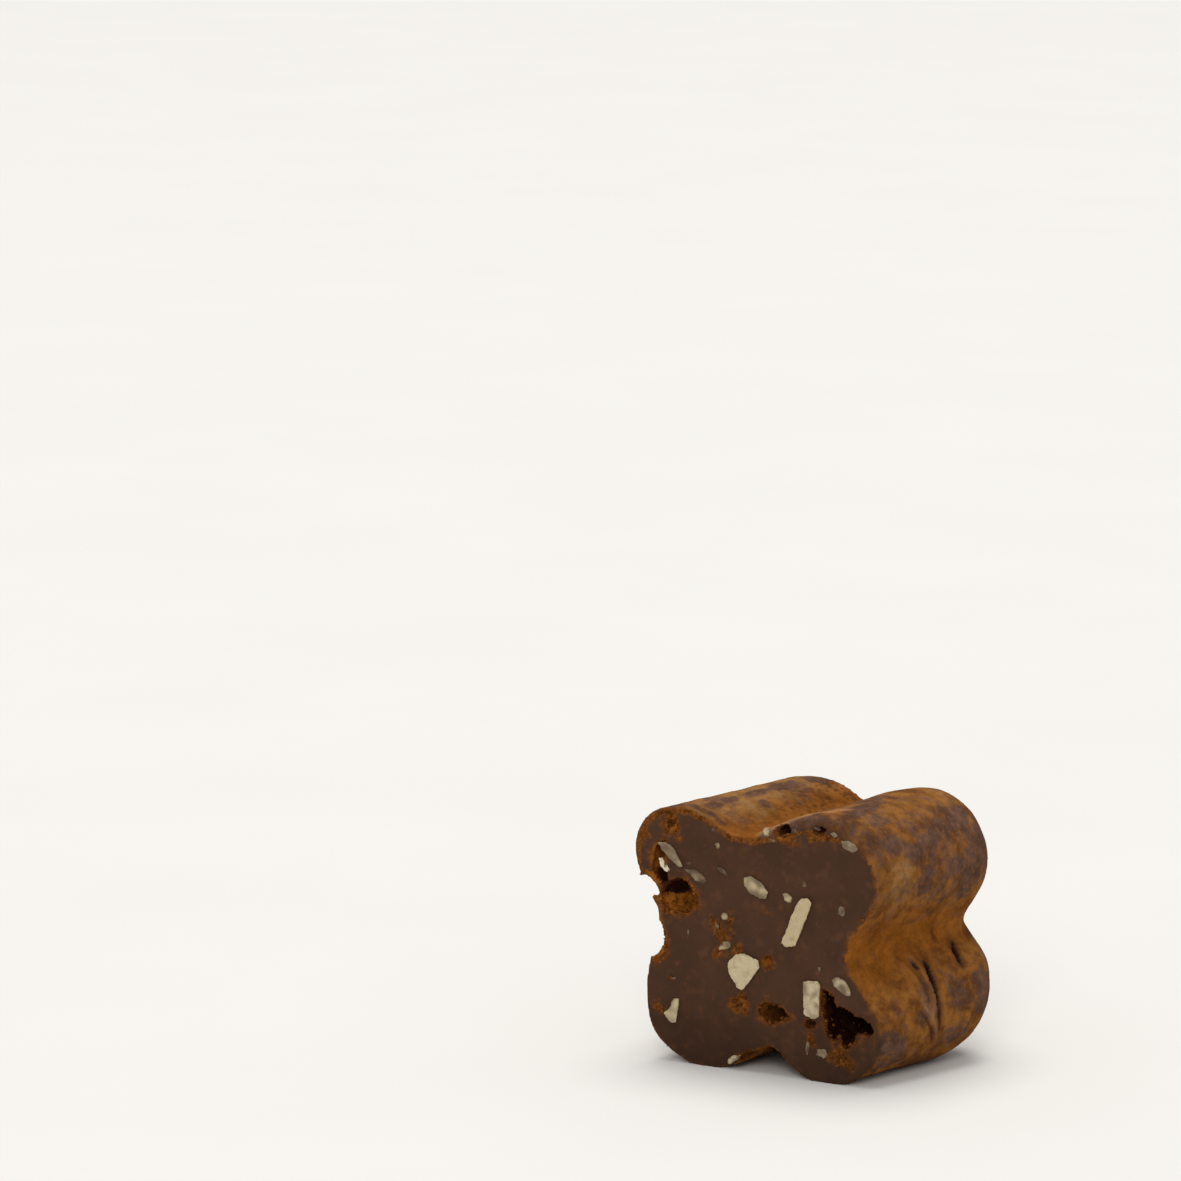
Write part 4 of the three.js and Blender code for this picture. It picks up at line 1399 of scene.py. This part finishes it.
# %% The cocoa skin's colour
def cocoa_colour(tree, place):
    has = {name: add(tree, "Attribute", out="Fac", attribute_name=name) for name in values}
    sizes = ((1.5,), (0.9, 2.0, 0.5), (0.5, 1.5), (0.2, 1.5))
    cloud, mottle, fleck, grit = [add(tree, "TexNoise", lumps_of(place, *size)) for size in sizes]
    cake = layered(tree, colour(0x5E3819), (cloud, 0.35, 0.65, 1.0, 0x8A5A29))
    thick_cake = layered(tree, colour(0x784512), (cloud, 0.35, 0.65, 1.0, 0x8A5118))
    # sandy tone, partly a painted sheen on the upper faces
    sand_and_sheen = layered(tree, colour(0x805930), (mottle, 0.38, 0.62, 1.0, 0x936C42))
    bloom = layered(tree, colour(0x4C362B), (cloud, 0.35, 0.65, 1.0, 0x5E463B))
    cake = add(tree, "Mix", {SHARE: has["thick"], FIRST: cake, SECOND: thick_cake}, **BLEND)
    cake = add(tree, "Mix", {SHARE: has["sandy_and_sheen"], FIRST: cake, SECOND: sand_and_sheen}, **BLEND)
    patchy = add(tree, "Math", {0: mottle, 1: 0.5}, operation="SUBTRACT")
    patchy = add(tree, "Math", {0: patchy, 1: 1.2, 2: has["bare"]}, operation="MULTIPLY_ADD")
    patchy = add(tree, "MapRange", {VALUE: patchy, LOW: 0.14, HIGH: 0.66})
    skin = add(tree, "Mix", {SHARE: patchy, FIRST: cake, SECOND: bloom}, **BLEND)
    flecks = (fleck, 0.5, 0.72, 0.28, 0x52341C), (fleck, 0.5, 0.28, 0.28, 0x965E2A)
    grains = (grit, 0.5, 0.75, 0.15, 0x9A6A38), (grit, 0.5, 0.25, 0.15, 0x4A2C14)
    skin = layered(tree, skin, *flecks, *grains)
    # painted highlight on the ridge and fold crests, painted shade in dips, furrows and cracks
    for name, most, tint in (("rub_and_highlight", 0.75, 0x9D7655), ("sunk", 0.7, 0x3F2410)):
        share = add(tree, "Math", {0: has[name], 1: most}, operation="MULTIPLY")
        skin = add(tree, "Mix", {SHARE: share, FIRST: skin, SECOND: colour(tint)}, **BLEND)
    return skin, grit, has

# %% [markdown]
# ## Cut chocolate paste
#
# A fresh cut is dark brown and almost matt. It is clouded where the paste was folded, and warms to
# orange-brown where cocoa dusts it. Inside the hollows it goes nearly black with depth, because
# little light gets in.


# %% The paste's colour
def paste_colour(tree, place, has):
    sizes = ((3.4,), (1.3, 2.0), (0.8,), (0.22, 2.0))
    cloud, smudge, fold, fine = [add(tree, "TexNoise", lumps_of(place, *size)) for size in sizes]
    clouds = (cloud, 0.35, 0.65, 1.0, 0x4A3325), (fold, 0.5, 0.8, 0.6, 0x513629)
    flecks = (fine, 0.6, 0.85, 0.6, 0x583926), (smudge, 0.54, 0.76, 0.6, 0x5C3D29)
    paste = layered(tree, colour(0x432E22), *clouds, *flecks)
    crumb = layered(tree, colour(0x5B3413), (fine, 0.35, 0.65, 1.0, 0x7B4A1E))
    dusted = add(tree, "Math", {0: fold, 1: 0.5}, operation="SUBTRACT")
    dusted = add(tree, "Math", {0: dusted, 1: 1.4, 2: has["dust"]}, operation="MULTIPLY_ADD")
    dusted = add(tree, "MapRange", {VALUE: dusted, LOW: 0.1, HIGH: 0.9}, **SOFT)
    return add(tree, "Mix", {SHARE: dusted, FIRST: paste, SECOND: crumb}, **BLEND)

# %% The hollows' colour
def hollow_colour(tree, place, has):
    torn = add(tree, "TexNoise", lumps_of(place, 0.45))
    bright = layered(tree, colour(0x733F14), (torn, 0.35, 0.65, 1.0, 0x9B6022))
    dark = layered(tree, colour(0x30180A), (torn, 0.35, 0.65, 1.0, 0x522C12))
    wall = add(tree, "Mix", {SHARE: has["dust"], FIRST: dark, SECOND: bright}, **BLEND)
    lit = add(tree, "Math", {0: has["dust"], 1: 0.75}, operation="MULTIPLY")
    # painted shade: the walls darken to near black with depth, less where cocoa dusts them
    shade = add(tree, "Math", {0: has["deep"], 1: lit}, operation="SUBTRACT")
    return layered(tree, wall, (shade, 0.0, 0.9, 1.0, 0x240D05))

# %% [markdown]
# One material carries skin, cut and hollow, because on the real sweet they run into each other.
# Cocoa butter has an index of refraction of 1.46. The powder is rougher than the paste, and both
# scatter so much light that hardly any gloss is left. Towards its foot the piece is darkened by
# painted shade, the cut end more than the skin.


# %% Join them in the body's material
# painted shade towards the floor: the darkest shares of skin and paste, and the height it spans
PAINTED_FOOT_SHADE = {"from": 0.0, "to": 0.007, "skin": 0.97, "paste": 0.68}


def truffle_material():
    material, tree, place = start_material("cocoa_dusted_paste")
    skin, grit, has = cocoa_colour(tree, place)
    paste = paste_colour(tree, place, has)
    hollow = hollow_colour(tree, place, has)
    base = add(tree, "Mix", {SHARE: has["cut"], FIRST: skin, SECOND: paste}, **BLEND)
    base = add(tree, "Mix", {SHARE: has["hollow"], FIRST: base, SECOND: hollow}, **BLEND)
    # painted shade: the colour darkens towards the floor, the cut end more than the skin
    height = add(tree, "SeparateXYZ", {0: place}, out="Z")
    ends = {LEAST: PAINTED_FOOT_SHADE["skin"], MOST: PAINTED_FOOT_SHADE["paste"]}
    darkest = add(tree, "MapRange", {VALUE: has["cut"], **ends})
    span = {VALUE: height, LOW: PAINTED_FOOT_SHADE["from"], HIGH: PAINTED_FOOT_SHADE["to"], LEAST: darkest}
    foot = add(tree, "MapRange", span, **SOFT)
    base = add(tree, "Mix", {SHARE: 1.0, FIRST: base, SECOND: foot}, **SHADE)
    powder = add(tree, "Math", {0: 1.0, 1: has["cut"]}, operation="SUBTRACT")
    powder = add(tree, "Math", {0: powder, 1: has["dust"]}, operation="MAXIMUM")
    rough = add(tree, "MapRange", {VALUE: powder, LEAST: 0.6})
    smooth = add(tree, "TexNoise", lumps_of(place, 0.3, 2.0))
    relief_height = add(tree, "Mix", {SHARE: powder, 2: smooth, 3: grit})
    strength = add(tree, "MapRange", {VALUE: powder, LEAST: 0.25, MOST: 0.6})
    bump = add(tree, "Bump", {"Strength": strength, "Distance": 0.04 * MM, "Height": relief_height})
    finish = {"Base Color": base, "Roughness": rough, "Normal": bump}
    return end_material(material, {**finish, "IOR": 1.46, "Specular IOR Level": 0.04})


finish_piece(bar, "truffle_body", truffle_material())
print("body:", triangles(bar), "triangles")

# %% [markdown]
# ## Nut flesh
#
# Hazelnut flesh is creamy with darker flecks, dry and slightly waxy, with an index of about 1.45.
# Chocolate films some bits nearly whole, which greys them.


# %% The nut material
def nut_material():
    material, tree, place = start_material("hazelnut_flesh")
    tone = add(tree, "Attribute", out="Fac", attribute_name="tone")
    film = add(tree, "Attribute", out="Fac", attribute_name="film")
    vein = add(tree, "TexNoise", lumps_of(place, 0.6))
    fleck = add(tree, "TexNoise", lumps_of(place, 0.14, 1.0))
    flesh = add(tree, "Mix", {SHARE: tone, FIRST: colour(0xD6CAAC), SECOND: colour(0xA89268)}, **BLEND)
    flesh = layered(tree, flesh, (vein, 0.45, 0.8, 0.8, 0x9A845A), (fleck, 0.55, 0.85, 0.6, 0x97804F))
    grey = layered(tree, colour(0x75644A), (vein, 0.45, 0.8, 0.8, 0x5B4A36))
    greyed = add(tree, "MapRange", {VALUE: film, LOW: 0.05, HIGH: 0.65}, **SOFT)
    base = add(tree, "Mix", {SHARE: greyed, FIRST: flesh, SECOND: grey}, **BLEND)
    base = layered(tree, base, (film, 0.65, 1.0, 1.0, 0x4A3020))
    bump = add(tree, "Bump", {"Strength": 0.4, "Distance": 0.04 * MM, "Height": fleck})
    return end_material(material, {"Base Color": base, "Normal": bump, "IOR": 1.45, "Roughness": 0.6})


finish_piece(nuts, "nut_pieces", nut_material())
print("nuts:", triangles(nuts), "triangles")

# %% [markdown]
# ## Crumbs and powder
#
# Crumbs of paste are dark, and orange where cocoa coats them. Every crumb has its own tone between
# a dark and a bright colour, and a grit of about a tenth of a millimetre.


# %% Crumb and grain materials
def crumb_material(name, dark, bright, grit_size):
    material, tree, place = start_material(name)
    tone = add(tree, "Attribute", out="Fac", attribute_name="tone")
    grit = add(tree, "TexNoise", lumps_of(place, grit_size, 2.0))
    base = add(tree, "Mix", {SHARE: tone, FIRST: colour(dark), SECOND: colour(bright)}, **BLEND)
    base = layered(tree, base, (grit, 0.5, 0.75, 1.0, dark))
    bump = add(tree, "Bump", {"Strength": 0.5, "Distance": 0.03 * MM, "Height": grit})
    finish = {"Base Color": base, "Normal": bump, "Roughness": 1.0}
    return end_material(material, {**finish, "IOR": 1.46, "Specular IOR Level": 0.05})


LUMP_FINISHES = (
    (crumbs, "paste_crumbs", "ganache", "crumbled_paste", 0x4E2C13, 0x7A491C, 0.12),
    (specks, "cut_specks", "ganache", "loose_specks", 0x4A2F1B, 0x6E4826, 0.1),
    (grains, "cocoa_grains", "cocoa", "cocoa_grit", 0x643A15, 0x8A5C2C, 0.1),
)
for obj, name, slot, *look in LUMP_FINISHES:
    finish_piece(obj, name, crumb_material(*look))
    print(name + ":", triangles(obj), "triangles")

# %% [markdown]
# ## Floor, light and camera
#
# The floor is plain and pale. A large panel hangs high above, a second one stands far off in front
# on the right, and a pale world fills the shadows, as in a light tent. The panels are far away and
# large for so small a thing, so that the floor is lit evenly to its edges.

# %% Floor
FLOOR_HALF = 6.0
floor_bm = bmesh.new()
bmesh.ops.create_grid(floor_bm, x_segments=1, y_segments=1, size=FLOOR_HALF)
floor = new_object("floor", floor_bm)
floor_material, floor_tree, floor_place = start_material("matt_white_card")
card = add(floor_tree, "TexNoise", lumps_of(floor_place, 30, 2.0))
card_ends = {SHARE: card, FIRST: colour(0xDCDBD9), SECOND: colour(0xD8D7D5)}
card_colour = add(floor_tree, "Mix", card_ends, **BLEND)
card_finish = {"Base Color": card_colour, "Roughness": 0.9, "Specular IOR Level": 0.1}
floor.data.materials.append(end_material(floor_material, card_finish))
print("floor", 2 * FLOOR_HALF, "m wide")

# %% Lights
def soft_panel(name, place, size, power, tint):
    data = bpy.data.lights.new(name, "AREA")
    data.shape = "DISK"
    data.size = size
    data.energy = power
    data.color = colour(tint)[:3]
    panel = bpy.data.objects.new(name, data)
    panel.location = place
    panel.rotation_euler = (-Vector(place)).to_track_quat("-Z", "Y").to_euler()
    bpy.context.scene.collection.objects.link(panel)


soft_panel("overhead panel", (-0.6, 0.8, 5.0), 3.6, 185, 0xFFFDF8)
soft_panel("front panel", (2.2, -3.6, 2.8), 2.4, 85, 0xFFFBF5)
world = bpy.data.worlds.new("light tent")
world.use_nodes = True
backdrop = world.node_tree.nodes["Background"]
backdrop.inputs["Color"].default_value = colour(0xFCFCFC)
backdrop.inputs["Strength"].default_value = 0.55
bpy.context.scene.world = world
bpy.context.scene.view_settings.view_transform = "Standard"

# %% [markdown]
# The camera is a long lens 420 mm away, a little above the sweet and to the right of it, so that
# both the cut end and the long side show. It looks past the sweet, which leaves it at the lower
# right of the picture.

# %% Camera
IMAGE = 1181
AIM_TURN, AIM_DROP = math.radians(39.1), math.radians(10.3)
DISTANCE = 420
PIXELS_PER_MM = 13.7
SWEET_PIXEL = (820, 1052)
right = Vector((math.cos(AIM_TURN), math.sin(AIM_TURN), 0))
forward = UP.cross(right) * math.cos(AIM_DROP) - UP * math.sin(AIM_DROP)
up = right.cross(forward)
offset = [(pixel - IMAGE / 2) / PIXELS_PER_MM for pixel in SWEET_PIXEL]
eye = -DISTANCE * forward - offset[0] * right + offset[1] * up
camera_data = bpy.data.cameras.new("camera")
camera_data.sensor_width = 36
camera_data.lens = PIXELS_PER_MM * DISTANCE / IMAGE * camera_data.sensor_width
camera_data.clip_end = 50
camera = bpy.data.objects.new("camera", camera_data)
turn = Matrix((right, up, -forward)).transposed().to_4x4()
camera.matrix_world = Matrix.Translation(TO_FRAME @ eye) @ turn
bpy.context.scene.collection.objects.link(camera)
bpy.context.scene.camera = camera
print("lens:", round(camera_data.lens, 1), "mm")
